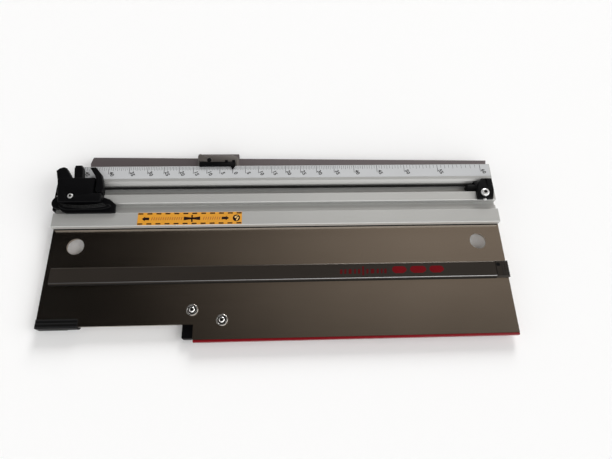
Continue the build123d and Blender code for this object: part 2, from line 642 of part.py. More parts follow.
SPRING_ROOM = 3.0
KEY_X0 = CORD_HOOK_X - 2.0
KEY_X1 = BODY_X1 - 4.5
KEY_STEM_Y = Y_RECESS + 4.0
KEY_PEGS_X = (KEY_X0 + 6, KEY_X1 - 6)
KEY_PEG_D = 2.5
KEY_PEG_L = 2.6
KNOT_X0 = KEY_X0 + 5.0
KNOT_LENGTH = 3.6
KNOT_HALF = CORD_D / 2 + 0.9


def body_outline():
    """Plan of the carriage body, with a small bulge on its right where the lever turns."""
    return [
        (BODY_X0 + 1.5, BODY_Y0), (BODY_X0, Y_RIDGE + 7), (BODY_X0 - 4, BODY_Y1),
        (BODY_RIGHT - 2, BODY_Y1), (BODY_RIGHT - 1, Y_RECESS + 8), (BODY_RIGHT + 0.6, Y_RECESS + 3),
        (BODY_RIGHT, Y_RECESS - 3), (BODY_RIGHT, BODY_Y0),
    ]


def horns():
    """The two fingers that reach back over the scale."""
    x = BODY_X0
    y = BODY_Y1
    outer = plate([
        (x - 4, y - 1), (x - 7, y + 10), (x - 3.2, y + 13.5), (x + 1.3, y + 15), (x + 5.1, y + 13.6),
        (x + 12.8, y + 1.7), (x + 13.4, y - 1)], Z_HORN, Z_CARRIAGE)
    middle = plate([
        (x + 15.5, y - 1), (x + 13.7, y + 13.5), (x + 14.6, y + 17.6), (x + 22.4, y + 17.6),
        (x + 25, y + 12.7), (x + 26.8, y - 1)], Z_HORN, Z_CARRIAGE - 0.8)
    return top_edges(outer, 1.2), top_edges(middle, 1.2)


def lever_pocket():
    """Room in the carriage body for the latch lever."""
    return block(BODY_X1 - 12, BODY_X1 + 6, Y_RIDGE + 9, BODY_Y1 + 1, Z_HORN, Z_CARRIAGE + 1)


def carriage_body():
    """Moulded body: a slab over the ridge and scale, a raised deck, two horns and a round bumper."""
    slab = plate(body_outline(), Z_SLIDE, Z_HORN)
    deck = plate(body_outline(), Z_HORN, Z_CARRIAGE)
    deck = top_edges(deck, 1.2)
    boss = top_edges(rod(CAP_LOBE_X + 0.2, CAP_LOBE_Y, Z_SLIDE, Z_HORN, BOSS_R), 1.0)
    boss -= block(BODY_X0 + 1.2 - FIT_GAP, BODY_X0 + 20, BODY_Y0 - 20, BODY_Y0, 0, Z_CARRIAGE)
    outer, middle = horns()
    body = slab + (deck - lever_pocket()) + outer + middle + boss
    body -= block(BODY_X0 - 10, BODY_X1 + 5, Y_BEVEL - 1, BODY_Y1 + 1, 0, Z_SCALE + 0.6)
    body -= rod(LEVER_X, LEVER_Y, PIN_Z0, Z_CARRIAGE + 1, LEVER_PIN_D / 2)
    body -= rod(LEVER_X, LEVER_Y, Z_HORN - SPRING_ROOM, Z_CARRIAGE + 1, SPRING_R + SPRING_WIRE / 2 + 0.4)
    body -= rod(BODY_SCREW_X, BODY_SCREW_Y, BODY_SCREW_SEAT, Z_CARRIAGE + 1, 4.4)
    body -= rod(BODY_SCREW_X, BODY_SCREW_Y, 0, Z_CARRIAGE, BODY_SCREW_D / 2 + 0.1)
    for x in KEY_PEGS_X:
        body -= rod(x, KEY_STEM_Y, Z_SLIDE - 1, Z_SLIDE + KEY_PEG_L, KEY_PEG_D / 2 + THREAD_GAP)
    return body


def carriage_shoe():
    """Moulded shoe in front of the body: a stepped, curved lip and a keel in the groove."""
    front = SHOE_Y0
    back = BODY_Y0 - FIT_GAP
    x0 = BODY_X0 + 1.2
    x1 = SHOE_RIGHT
    beside = BODY_RIGHT + FIT_GAP
    lower = plate([
        (x0, front + 6), (x0 + 3.5, front + 2.6), (x0 + 9, front), (x1 - 4, front), (x1, front + 0.6),
        (x1 - 0.4, front + 11.0), (x1 - 8, Y_RIDGE + 4.2), (beside + 0.6, Y_RIDGE + 7),
        (beside, Y_RIDGE + 2), (beside, back), (x0, back)], SHOE_Z0, SHOE_Z0 + 3.0)
    upper = plate([
        (x0, front + 8), (x0 + 4, front + 5), (x0 + 10, front + 3), (x1 - 16, front + 3.4),
        (x1 - 8, front + 5), (x1 - 5, front + 7), (x1 - 6, front + 9.4), (beside, back), (x0, back)],
        SHOE_Z0 + 3.0, SHOE_Z0 + 5.4)
    shoe = top_edges(lower, 0.8) + top_edges(upper, 1.0)
    shoe += block(x0 + 12, x1 - 16, Y_GROOVE + RUN_GAP, back, KEEL_Z0, SHOE_Z0)
    for x in SHOE_SCREWS_X:
        shoe -= sink(x, SHOE_SCREW_Y, KEEL_Z0, SHOE_SCREW_HEAD_D, SHOE_SCREW_D, SHOE_SCREW_L)
    return shoe


def shoe_screws():
    """Small flush screws through the keel into the shoe."""
    return [flush_screw(x, SHOE_SCREW_Y, KEEL_Z0, SHOE_SCREW_HEAD_D, SHOE_SCREW_D, SHOE_SCREW_L)
            for x in SHOE_SCREWS_X]


def carriage_key():
    """Low-friction key that hangs in the recess and hooks under the ridge."""
    stem = block(KEY_X0, KEY_X1, Y_RECESS + RUN_GAP, Y_RECESS + 7.0, Z_FLOOR + RUN_GAP, Z_SLIDE)
    hook = block(KEY_X0, KEY_X1, Y_RIDGE + WALL + RUN_GAP, Y_RECESS + RUN_GAP, Z_FLOOR + RUN_GAP,
                 Z_LIP - RUN_GAP)
    key = stem + hook
    for x in KEY_PEGS_X:
        key += rod(x, KEY_STEM_Y, Z_SLIDE, Z_SLIDE + KEY_PEG_L, KEY_PEG_D / 2)
    key -= rod_x(KEY_X0 - 1, KNOT_X0 + 1, RETURN_Y, CORD_Z, CORD_D / 2 + FIT_GAP)
    return key - block(KNOT_X0 - 0.1, KNOT_X0 + KNOT_LENGTH + 0.1, RETURN_Y - KNOT_HALF - 0.1,
                       RETURN_Y + KNOT_HALF + 0.1, CORD_Z - KNOT_HALF - 0.1, CORD_Z + KNOT_HALF + 0.1)


def cord_knot():
    """Crimp on the cord's moving end, held in the key."""
    knot = block(KNOT_X0, KNOT_X0 + KNOT_LENGTH, RETURN_Y - KNOT_HALF, RETURN_Y + KNOT_HALF,
                 CORD_Z - KNOT_HALF, CORD_Z + KNOT_HALF)
    return fillet(knot.edges(), 0.6) + rod_x(CORD_HOOK_X, KNOT_X0 + 1, RETURN_Y, CORD_Z, CORD_D / 2)


def glide_pads():
    """Two slippery pads under the body, one at each end of the ridge contact."""
    pads = []
    for x in (BODY_X0 + 6, BODY_X1 - 18):
        pads.append(block(x, x + 10, Y_RIDGE + 2, Y_RECESS - 2, Z_BEAM + 0.05, Z_SLIDE))
    return pads


def body_screw():
    """Button-head screw that holds body and shoe together."""
    return button_screw(BODY_SCREW_X, BODY_SCREW_Y, BODY_SCREW_SEAT, 7.6, 2.6, BODY_SCREW_D,
                        BODY_SCREW_SEAT - Z_SLIDE - 0.4)


def latch_lever():
    """Curved finger on the right that snaps over the saw's peg."""
    x = BODY_X1
    y = BODY_Y1
    outline = [
        (x - 1.0, LEVER_Y - 4.5), (x + 0.6, LEVER_Y), (x - 2.0, y - 4), (x - 4.6, y + 4.5),
        (x - 12.8, y + 14.6), (x - 20.2, y + 14.4), (x - 11.6, y + 1.6), (x - 9.4, y - 6),
        (x - 9.6, LEVER_Y - 1), (x - 6.5, LEVER_Y - 4.6),
    ]
    lever = plate(outline, LEVER_Z0, LEVER_Z1)
    lever = fillet(lever.edges().filter_by(Axis.Z), 1.2)
    lever = top_edges(lever, 0.9)
    return lever - rod(LEVER_X, LEVER_Y, 0, LEVER_SEAT, LEVER_BUSH_R)


def latch_bush():
    """Brass bush in the lever, running on its pin."""
    bush = rod(LEVER_X, LEVER_Y, LEVER_Z0, LEVER_SEAT, LEVER_BUSH_R)
    return bush - rod(LEVER_X, LEVER_Y, 0, Z_CARRIAGE, LEVER_PIN_D / 2 + FIT_GAP)


def latch_pin():
    """Steel pin that the lever turns on, pressed into the body and covered by the lever."""
    pin = rod(LEVER_X, LEVER_Y, PIN_Z0, LEVER_SEAT - 0.1, LEVER_PIN_D / 2)
    return chamfer(pin.edges().sort_by(Axis.Z)[-1], 0.4)


def latch_spring():
    """Torsion spring round the pin, in the body under the lever."""
    height = SPRING_ROOM - SPRING_WIRE - 0.4
    coil = Helix(pitch=SPRING_WIRE + 0.15, height=height, radius=SPRING_R)
    section = Plane(origin=coil @ 0, z_dir=coil % 0) * Circle(SPRING_WIRE / 2)
    spring = sweep(section, path=coil)
    return Pos(LEVER_X, LEVER_Y, Z_HORN - SPRING_ROOM + SPRING_WIRE / 2 + 0.1) * spring


# ---- Rear stop ----------------------------------------------------------------------------------

SLIDER_X0 = STOP_X - 38.0
SLIDER_X1 = STOP_X + 14.0
SLIDER_Y0 = Y_REAR + 0.6
SLIDER_Y1 = Y_STRIP - 1.2
SLIDER_TOP = Z_SCALE - SLIDER_DROP
SLIDER_CORNER_X = 7.0
SLIDER_CORNER_Y = 5.0
ARM_T = 2.0
ARM_Z0 = 0.2
ARM_Z1 = ARM_Z0 + ARM_T
ARM_Y1 = Y_STRIP + RUN_GAP + ARM_T
TURN_Z0 = STRIP_TOP + RUN_GAP
TURN_Z1 = TURN_Z0 + ARM_T
ARM_SCREWS_X = (SLIDER_X0 + 6, (SLIDER_X0 + SLIDER_X1) / 2, SLIDER_X1 - 10)
ARM_SCREW_Y = SLIDER_Y1 - 3.4
ARM_SCREW_D = 2.5
ARM_SCREW_HEAD_D = 4.6
ARM_SCREW_L = 5.0
CLAMP_X = SLIDER_X0 + 15.5
CLAMP_Y = Y_REAR + 8.5
CLAMP_D = 4.0
CLAMP_PAD_R = 2.6
CLAMP_PAD_T = 1.8
LEVER_T = 2.4
CLAMP_Z0 = SLIDER_TOP + RUN_GAP
POINTER_PEGS_X = (CONTACT_X - 8.0, CONTACT_X + 1.0)
POINTER_PEG_Y = SLIDER_Y0 + 2.0
PEG_R = 1.0
PEG_L = 3.0
STOP_RIVET_R = 2.5
STOP_RIVET_HEAD_R = 4.2
STOP_RIVET_SEAT = -STOP_HANG + 2.4


def slider_body():
    """Metal slider over the strip, screwed on the arm's upper turn."""
    body = plate([
        (SLIDER_X0, SLIDER_Y0), (SLIDER_X1, SLIDER_Y0), (SLIDER_X1, SLIDER_Y1 - SLIDER_CORNER_Y),
        (SLIDER_X1 - SLIDER_CORNER_X, SLIDER_Y1), (SLIDER_X0, SLIDER_Y1)], TURN_Z1, SLIDER_TOP)
    body = chamfer(body.faces().sort_by(Axis.Z)[-1].edges().filter_by(Axis.Y), 2.0)
    body = chamfer(body.faces().sort_by(Axis.Z)[-1].edges().filter_by(Axis.X).sort_by(Axis.Y)[-1], 1.5)
    body -= rod(CLAMP_X, CLAMP_Y, 0, SLIDER_TOP + 1, CLAMP_D / 2 + FIT_GAP)
    for x in ARM_SCREWS_X:
        body -= rod(x, ARM_SCREW_Y, 0, TURN_Z0 + ARM_SCREW_L + 0.1, ARM_SCREW_D / 2 + THREAD_GAP)
    for x in POINTER_PEGS_X:
        body -= rod(x, POINTER_PEG_Y, SLIDER_TOP - PEG_L, SLIDER_TOP + 1, PEG_R + THREAD_GAP)
    return body


def clamp_pad():
    """Nylon pad that the clamp screw presses on the strip."""
    return rod(CLAMP_X, CLAMP_Y, STRIP_TOP + 0.1, STRIP_TOP + CLAMP_PAD_T, CLAMP_PAD_R)


def rear_stop_arm():
    """Bent steel arm: from the bush under the rail, round behind the strip and forward over it."""
    bush_y = REAR_STOP_Y
    under = plate([
        (SLIDER_X0, Y_REAR + 6), (SLIDER_X0, ARM_Y1), (SLIDER_X1, ARM_Y1), (SLIDER_X1, Y_REAR + 6),
        (STOP_X + 9, Y_REAR - 4), (STOP_X + 9, bush_y), (STOP_X + 5, bush_y - 9),
        (STOP_X - 5, bush_y - 9), (STOP_X - 9, bush_y), (STOP_X - 9, Y_REAR - 4)],
        ARM_Z0, ARM_Z1)
    bend = block(SLIDER_X0, SLIDER_X1, ARM_Y1 - ARM_T, ARM_Y1, ARM_Z0, TURN_Z1)
    turn = block(SLIDER_X0, SLIDER_X1, SLIDER_Y0, ARM_Y1, TURN_Z0, TURN_Z1)
    arm = under + bend + turn
    arm -= rod(STOP_X, REAR_STOP_Y, ARM_Z0 - 1, ARM_Z1 + 1, STOP_RIVET_R)
    arm -= rod(CLAMP_X, CLAMP_Y, TURN_Z0 - 1, TURN_Z1 + 1, CLAMP_PAD_R + FIT_GAP)
    for x in ARM_SCREWS_X:
        arm -= sink(x, ARM_SCREW_Y, TURN_Z0, ARM_SCREW_HEAD_D, ARM_SCREW_D, ARM_SCREW_L)
    return arm


def rear_stop_bush():
    """Round stop under the arm, the twin of the front one."""
    bush = rod(STOP_X, REAR_STOP_Y, -STOP_HANG, ARM_Z0, STOP_BUSH_D / 2)
    bush = chamfer(bush.edges().sort_by(Axis.Z)[0], 0.5)
    bush -= rod(STOP_X, REAR_STOP_Y, -STOP_HANG - 1, ARM_Z0 + 1, STOP_RIVET_R)
    return bush - rod(STOP_X, REAR_STOP_Y, -STOP_HANG - 1, STOP_RIVET_SEAT, STOP_RIVET_HEAD_R + 0.1)


def rear_stop_rivet():
    """Shouldered rivet that fixes the rear bush to the arm."""
    head = rod(STOP_X, REAR_STOP_Y, -STOP_HANG + 0.6, STOP_RIVET_SEAT, STOP_RIVET_HEAD_R)
    return head + rod(STOP_X, REAR_STOP_Y, STOP_RIVET_SEAT, ARM_Z1, STOP_RIVET_R)


def pointer():
    """Black bar on the slider, with its tip over the scale in line with the stop's face."""
    y0 = Y_REAR - 1.6
    y1 = SLIDER_Y0 + 4.2
    lip_z0 = Z_SCALE + 0.5
    lip_z1 = lip_z0 + 1.4
    x0 = SLIDER_X0 + 3.8
    x1 = CONTACT_X + 3.2
    base = block(x0, x1, SLIDER_Y0, y1, SLIDER_TOP, lip_z1)
    lip = block(x0, x1, y0, SLIDER_Y0, lip_z0, lip_z1)
    tip = plate([(CONTACT_X - 2.6, y0), (CONTACT_X + 2.6, y0), (CONTACT_X + 0.3, y0 - 4.2),
                 (CONTACT_X - 0.3, y0 - 4.2)], lip_z0, lip_z0 + 0.6)
    bar_part = base + lip + tip
    for x in POINTER_PEGS_X:
        bar_part += rod(x, POINTER_PEG_Y, SLIDER_TOP - PEG_L, SLIDER_TOP, PEG_R)
        bar_part += block(x - 1.8, x + 1.8, y1, y1 + 2.2, SLIDER_TOP, lip_z1 + 0.8)
    return bar_part


def arm_screws():
    """Countersunk screws that join the arm to the slider."""
    return [flush_screw(x, ARM_SCREW_Y, TURN_Z0, ARM_SCREW_HEAD_D, ARM_SCREW_D, ARM_SCREW_L)
            for x in ARM_SCREWS_X]


def clamp_lever():
    """Low thumb lever that tightens the slider on its strip."""
    hub_r = 3.4
    hub = rod(CLAMP_X, CLAMP_Y, CLAMP_Z0, CLAMP_Z0 + LEVER_T, hub_r)
    arm = plate([
        (CLAMP_X, CLAMP_Y - hub_r), (CLAMP_X, CLAMP_Y + hub_r), (SLIDER_X0 + 3.4, SLIDER_Y1 + 0.2),
        (SLIDER_X0 + 1.4, SLIDER_Y1 - 3.0), (SLIDER_X0 + 2.4, CLAMP_Y - 1.2)],
        CLAMP_Z0, CLAMP_Z0 + LEVER_T)
    lever = top_edges(hub + arm, 0.6)
    return lever - rod(CLAMP_X, CLAMP_Y, 0, 40, CLAMP_D / 2 + THREAD_GAP)


def clamp_screw():
    """Screw that turns with the lever, with a low domed head on it."""
    z_head = CLAMP_Z0 + LEVER_T
    shank = rod(CLAMP_X, CLAMP_Y, STRIP_TOP + CLAMP_PAD_T + 0.2, z_head, CLAMP_D / 2)
    head = rod(CLAMP_X, CLAMP_Y, z_head, z_head + 1.2, CLAMP_D / 2 + 0.8)
    return shank + fillet(head.edges().sort_by(Axis.Z)[-1], 0.8)


def nodes():
    """Every node of the part, by name."""
    return {
        "bed_plate": [bed_plate()],
        "rail_extrusion": [rail_extrusion()],
        "guide_rib": [guide_rib()],
        "rib_cap": [rib_cap()],
        "rib_cap_screw": [rib_cap_screw()],
        "rib_screws": [flush_screw(x, 0, GRIP_THICKNESS, SCREW_HEAD_D, SCREW_D, RIB_SCREW_L)
                       for x in RIB_SCREWS_X],
        "bed_screws": [flush_screw(x, BED_SCREWS_Y, GRIP_THICKNESS, SCREW_HEAD_D, SCREW_D, BED_SCREW_L)
                       for x in BED_SCREWS_X],
        "splinter_guard": [splinter_guard()],
        "front_grip_strip": [grip_strip(0, 20)],
        "rear_grip_strip": [grip_strip(Y_RAIL + 22, 20)],
        "corner_foot": [corner_foot()],
        "front_stop_block": [front_stop_block()],
        "front_stop_bush": [front_stop_bush()],
        "cup_washers": [cup_washer(x, y) for x, y in STOP_SCREWS],
        "stop_screws": [stop_screw(x, y) for x, y in STOP_SCREWS],
        "stop_nuts": [stop_nut(x, y) for x, y in STOP_SCREWS],
        "rear_guide_strip": [rear_guide_strip()],
        "flange_rivets": flange_rivets(),
        "angle_scale": [angle_scale()],
        "park_label": [park_label()],
        "left_end_cap": [left_end_cap()],
        "pulley_axle": [pulley_axle()],
        "pulley": [pulley()],
        "pulley_bush": [pulley_bush()],
        "end_block": [end_block()],
        "block_screw": [block_screw()],
        "block_nut": [block_nut()],
        "block_set_screw": [block_set_screw()],
        "cord_ferrule": [cord_ferrule()],
        "cord_fixed_strand": [cord_fixed_strand()],
        "cord_return_strand": [cord_return_strand()],
        "carriage_body": [carriage_body()],
        "carriage_shoe": [carriage_shoe()],
        "shoe_screws": shoe_screws(),
        "carriage_key": [carriage_key()],
        "cord_knot": [cord_knot()],
        "glide_pads": glide_pads(),
        "body_screw": [body_screw()],
        "latch_lever": [latch_lever()],
        "latch_bush": [latch_bush()],
        "latch_pin": [latch_pin()],
        "latch_spring": [latch_spring()],
        "slider_body": [slider_body()],
        "rear_stop_arm": [rear_stop_arm()],
        "rear_stop_bush": [rear_stop_bush()],
        "rear_stop_rivet": [rear_stop_rivet()],
        "pointer": [pointer()],
        "arm_screws": arm_screws(),
        "clamp_pad": [clamp_pad()],
        "clamp_lever": [clamp_lever()],
        "clamp_screw": [clamp_screw()],
    }


def main():
    os.makedirs("parts", exist_ok=True)
    for name, solids in nodes().items():
        save(name, *solids)


main()
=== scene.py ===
# %% [markdown]
# # A cross-cut guide rail, dressed over its measured frame
# This rail lies on a board or a tile and steers a hand-held saw. Its exact shapes were drawn in a CAD program and
# packed with their joints. Here Blender gives them their finishes, their prints and the small details that a CAD
# solid leaves out. Nothing is placed by eye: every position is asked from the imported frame.

# %% Load the frame
import json
import math

import bmesh
import bpy
from mathutils import Matrix, Vector


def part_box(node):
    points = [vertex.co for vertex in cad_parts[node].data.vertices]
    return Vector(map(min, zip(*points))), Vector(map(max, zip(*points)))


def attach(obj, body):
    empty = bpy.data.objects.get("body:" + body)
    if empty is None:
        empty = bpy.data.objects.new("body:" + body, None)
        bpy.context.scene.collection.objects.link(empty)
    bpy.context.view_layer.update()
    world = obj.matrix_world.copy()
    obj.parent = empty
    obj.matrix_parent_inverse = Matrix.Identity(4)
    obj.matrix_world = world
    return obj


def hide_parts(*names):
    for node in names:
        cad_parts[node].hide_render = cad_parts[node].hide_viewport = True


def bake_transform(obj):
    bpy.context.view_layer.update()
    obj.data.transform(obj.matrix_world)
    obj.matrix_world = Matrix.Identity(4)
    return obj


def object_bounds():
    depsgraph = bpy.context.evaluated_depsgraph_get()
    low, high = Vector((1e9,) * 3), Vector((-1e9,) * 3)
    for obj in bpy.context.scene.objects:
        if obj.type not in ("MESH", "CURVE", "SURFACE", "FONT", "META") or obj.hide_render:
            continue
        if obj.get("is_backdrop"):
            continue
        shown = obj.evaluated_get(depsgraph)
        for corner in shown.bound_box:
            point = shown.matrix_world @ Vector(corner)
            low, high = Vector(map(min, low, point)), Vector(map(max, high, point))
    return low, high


MM = 0.001
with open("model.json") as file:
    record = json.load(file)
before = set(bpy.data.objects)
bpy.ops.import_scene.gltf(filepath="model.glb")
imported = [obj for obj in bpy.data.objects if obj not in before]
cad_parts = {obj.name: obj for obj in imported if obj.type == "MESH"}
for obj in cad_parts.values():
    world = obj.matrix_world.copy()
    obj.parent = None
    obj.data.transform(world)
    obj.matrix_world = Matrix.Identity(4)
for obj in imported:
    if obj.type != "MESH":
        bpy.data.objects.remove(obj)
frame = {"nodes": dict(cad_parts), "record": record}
cad_box = [list(corner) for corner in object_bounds()]
nodes = frame["nodes"]

# %% [markdown]
# ## Where the main edges are
# A print or a screw has to sit on a face that already exists. Asking the frame for a node's box gives that face to a
# hundredth of a millimetre, so the few values that many cells share are read once and named here.

# %% Shared positions
rail_low, rail_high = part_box("rail_extrusion")
bed_low, bed_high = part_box("bed_plate")
front_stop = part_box("front_stop_bush")
rear_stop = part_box("rear_stop_bush")
zero_x = front_stop[1].x
stop_span = (rear_stop[0].y + rear_stop[1].y - front_stop[0].y - front_stop[1].y) / 2
print("scale: zero at x =", round(zero_x / MM, 1), "mm, stops", round(stop_span / MM, 1), "mm apart")

# %% [markdown]
# ## The camera
# The rail is seen from the front and well above, a little turned and a little tilted, as when it is held over a
# bench. A matrix built from three angles says this more plainly than a chain of rotations: first the way the camera
# faces, then which way is up in its picture.


# %% Place the camera
def camera_matrix(place, yaw, pitch, roll):
    """A camera that faces +Y, turned in degrees by yaw to the right, by pitch downwards, and rolled."""
    yaw, pitch, roll = (math.radians(angle) for angle in (yaw, pitch, roll))
    forward = Vector((math.sin(yaw) * math.cos(pitch), math.cos(yaw) * math.cos(pitch), -math.sin(pitch)))
    right = Vector((math.cos(yaw), -math.sin(yaw), 0))
    up = right.cross(forward)
    side = right * math.cos(roll) + up * math.sin(roll)
    top = up * math.cos(roll) - right * math.sin(roll)
    matrix = Matrix((side, top, -forward)).transposed().to_4x4()
    matrix.translation = place
    return matrix


camera = bpy.data.objects.new("camera", bpy.data.cameras.new("camera"))
bpy.context.scene.collection.objects.link(camera)
CAMERA_PLACE = (0.00494, -0.17348, 0.53930)
YAW, PITCH, ROLL = 6.555, 66.69, 5.263
camera.data.lens = 28.09
camera.data.clip_start = 0.01
camera.matrix_world = camera_matrix(CAMERA_PLACE, YAW, PITCH, ROLL)
bpy.context.scene.camera = camera
print("camera:", camera.data.lens, "mm lens")

# %% [markdown]
# ## Wiring nodes in plain sums
# Shaders and Geometry Nodes are both wired from small boxes. Written one box at a time they are hard to read, so one
# small class wraps a socket and turns + - * / into Math nodes, and another adds any other node from its type, its
# settings and its inputs. Everything below is written with these two.


# %% The wiring classes
class Wire:
    """An output socket that takes part in sums. Each sum adds a Math node."""

    def __init__(self, net, socket):
        self.net = net
        self.socket = socket

    def __add__(self, other):
        return self.net.math("ADD", self, other)

    def __sub__(self, other):
        return self.net.math("SUBTRACT", self, other)

    def __rsub__(self, other):
        return self.net.math("SUBTRACT", other, self)

    def __mul__(self, other):
        return self.net.math("MULTIPLY", self, other)

    def __truediv__(self, other):
        return self.net.math("DIVIDE", self, other)

    def __rtruediv__(self, other):
        return self.net.math("DIVIDE", other, self)

    def __mod__(self, other):
        return self.net.math("MODULO", self, other)

    __radd__ = __add__
    __rmul__ = __mul__


class Net:
    """A node tree and the one way to add a node to it."""

    def __init__(self, tree):
        self.tree = tree

    def add(self, kind, settings=None, inputs=None, out=0):
        node = self.tree.nodes.new(kind)
        for name, value in (settings or {}).items():
            if name == "stops":
                self.set_stops(node.color_ramp, value)
            else:
                setattr(node, name, value)
        for key, value in (inputs or {}).items():
            self.feed(node.inputs[key], value)
        return Wire(self, node.outputs[out])

    def math(self, operation, first, second=0.0):
        return self.add("ShaderNodeMath", {"operation": operation}, {0: first, 1: second})

    def split(self, vector):
        """The X, Y and Z of a vector as three wires."""
        first = self.add("ShaderNodeSeparateXYZ", None, {0: vector})
        return [Wire(self, first.socket.node.outputs[letter]) for letter in "XYZ"]

    def feed(self, socket, value):
        if isinstance(value, Wire):
            self.tree.links.new(value.socket, socket)
        else:
            socket.default_value = value

    def set_stops(self, ramp, stops):
        while len(ramp.elements) < len(stops):
            ramp.elements.new(1.0)
        for element, (place, colour) in zip(ramp.elements, stops):
            element.position = place
            element.color = colour if hasattr(colour, "__len__") else (colour, colour, colour, 1)


print("wiring classes ready")

# %% [markdown]
# ## The light
# Plain metal shows its surroundings, so the light is half of its finish. The room is pale round the horizon and dim
# overhead, a little lighter on the right. The flat steel mirrors the dim ceiling and goes dark, while the satin
# aluminium and the floor gather the pale light from the sides. Wide suns from all four sides keep the shadows soft.

# %% Light the room
world = bpy.data.worlds.new("studio")
bpy.context.scene.world = world
world.use_nodes = True
room = Net(world.node_tree)
room_background = world.node_tree.nodes["Background"]
to_right, to_back, height = room.split(room.add("ShaderNodeTexCoord"))
near_horizon = room.add("ShaderNodeMapRange", {"interpolation_type": "SMOOTHSTEP"},
                        {"Value": height, "From Min": 0.15, "From Max": 0.62, "To Min": 1.0, "To Max": 0.0})
lit_side = room.add("ShaderNodeMapRange", {"interpolation_type": "SMOOTHSTEP"},
                    {"Value": to_right, "From Min": -0.42, "From Max": 0.36})
lit_back = room.add("ShaderNodeMapRange", None,
                    {"Value": to_back, "From Min": 0.05, "From Max": 0.36, "To Min": 0.15, "To Max": 1.0})
ceiling = lit_side * lit_back * 0.36
ceiling_colour = room.add("ShaderNodeCombineColor", None, {0: ceiling, 1: ceiling * 0.90, 2: ceiling * 0.80})
HORIZON = (0.86, 0.87, 0.88, 1)
room_colour = room.add("ShaderNodeMix", {"data_type": "RGBA"},
                       {0: near_horizon, 6: ceiling_colour, 7: HORIZON}, out=2)
room.feed(room_background.inputs["Color"], room_colour)
room_background.inputs["Strength"].default_value = 0.9


def sun(name, azimuth, elevation, strength, spread):
    """A wide soft light, in degrees; azimuth 0 shines from the front and 90 from the right."""
    lamp = bpy.data.objects.new(name, bpy.data.lights.new(name, "SUN"))
    bpy.context.scene.collection.objects.link(lamp)
    lamp.data.energy = strength
    lamp.data.angle = math.radians(spread)
    lamp.rotation_euler = (math.radians(90 - elevation), 0, math.radians(azimuth))


SUNS = [("window", 165, 26, 1.9, 24), ("right_fill", 85, 30, 1.2, 40), ("front_fill", 15, 34, 1.7, 80),
        ("left_fill", -80, 24, 0.5, 60)]
for name, azimuth, elevation, strength, spread in SUNS:
    sun(name, azimuth, elevation, strength, spread)
bpy.context.scene.view_settings.view_transform = "Standard"
print("lights:", len(SUNS), "suns and the room")


# %% [markdown]
# ## The floor
# A plain pale board gives the rail something to stand on. It is part of the stage and not of the object, and it lies
# at the lowest point of the stops.


# %% Lay the floor
def painted(name):
    """A new material with its net and its shader node."""
    material = bpy.data.materials.new(name)
    material.use_nodes = True
    return material, Net(material.node_tree), material.node_tree.nodes["Principled BSDF"]


def link_mesh(name, mesh):
    """A new object in the scene for a finished mesh."""
    piece = bpy.data.objects.new(name, mesh)
    bpy.context.scene.collection.objects.link(piece)
    return piece


floor_paint, _, floor_shader = painted("floor_board")
floor_shader.inputs["Base Color"].default_value = (0.96, 0.96, 0.96, 1)
floor_shader.inputs["Roughness"].default_value = 0.9
floor_mesh = bpy.data.meshes.new("floor")
REACH = 8.0
floor_z = cad_box[0][2]
floor_mesh.from_pydata([(-REACH, -REACH, floor_z), (REACH, -REACH, floor_z), (REACH, REACH, floor_z),
                        (-REACH, REACH, floor_z)], [], [(0, 1, 2, 3)])
floor_mesh.materials.append(floor_paint)
floor = link_mesh("floor", floor_mesh)
floor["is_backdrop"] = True
print("floor at z =", round(floor_z / MM, 1), "mm")

# %% [markdown]
# ## Metal finishes
# Every metal here was drawn, rolled or brushed along the rail, so its grain runs along X. A noise that is stretched
# about a hundred times along X draws that grain. It moves the roughness and a very shallow bump, because real grain
# hardly changes the colour but scatters the light across it. A second, broad noise adds the faint clouds of handling.


# %% Drawn metal
GRAIN_SCALE = (22, 2600, 2600)
GRAIN_DEPTH = 0.02 * MM


def drawn_metal(name, colour, roughness, metallic, grain=0.05, clouds=0.10, shine=0.5):
    """Metal with its grain along X: grain moves the roughness, clouds the colour."""
    material, net, shader = painted(name)
    where = net.add("ShaderNodeTexCoord", out="Object")
    stretched = net.add("ShaderNodeMapping", None, {"Vector": where, "Scale": GRAIN_SCALE})
    fine = net.add("ShaderNodeTexNoise", None, {"Vector": stretched, "Scale": 1.0, "Detail": 3.0})
    broad = net.add("ShaderNodeTexNoise", None, {"Vector": where, "Scale": 9.0, "Detail": 2.0})
    shade = (broad - 0.5) * (2 * clouds) + (fine - 0.5) * (2 * grain) + 1.0
    base = net.add("ShaderNodeVectorMath", {"operation": "SCALE"}, {0: colour[:3], "Scale": shade})
    net.feed(shader.inputs["Base Color"], base)
    net.feed(shader.inputs["Roughness"], (fine - 0.5) * (2 * grain) + (broad - 0.5) * 0.06 + roughness)
    bump = net.add("ShaderNodeBump", None, {"Height": fine, "Distance": GRAIN_DEPTH, "Strength": 1.0})
    net.feed(shader.inputs["Normal"], bump)
    shader.inputs["Metallic"].default_value = metallic
    shader.inputs["Specular IOR Level"].default_value = shine
    return material


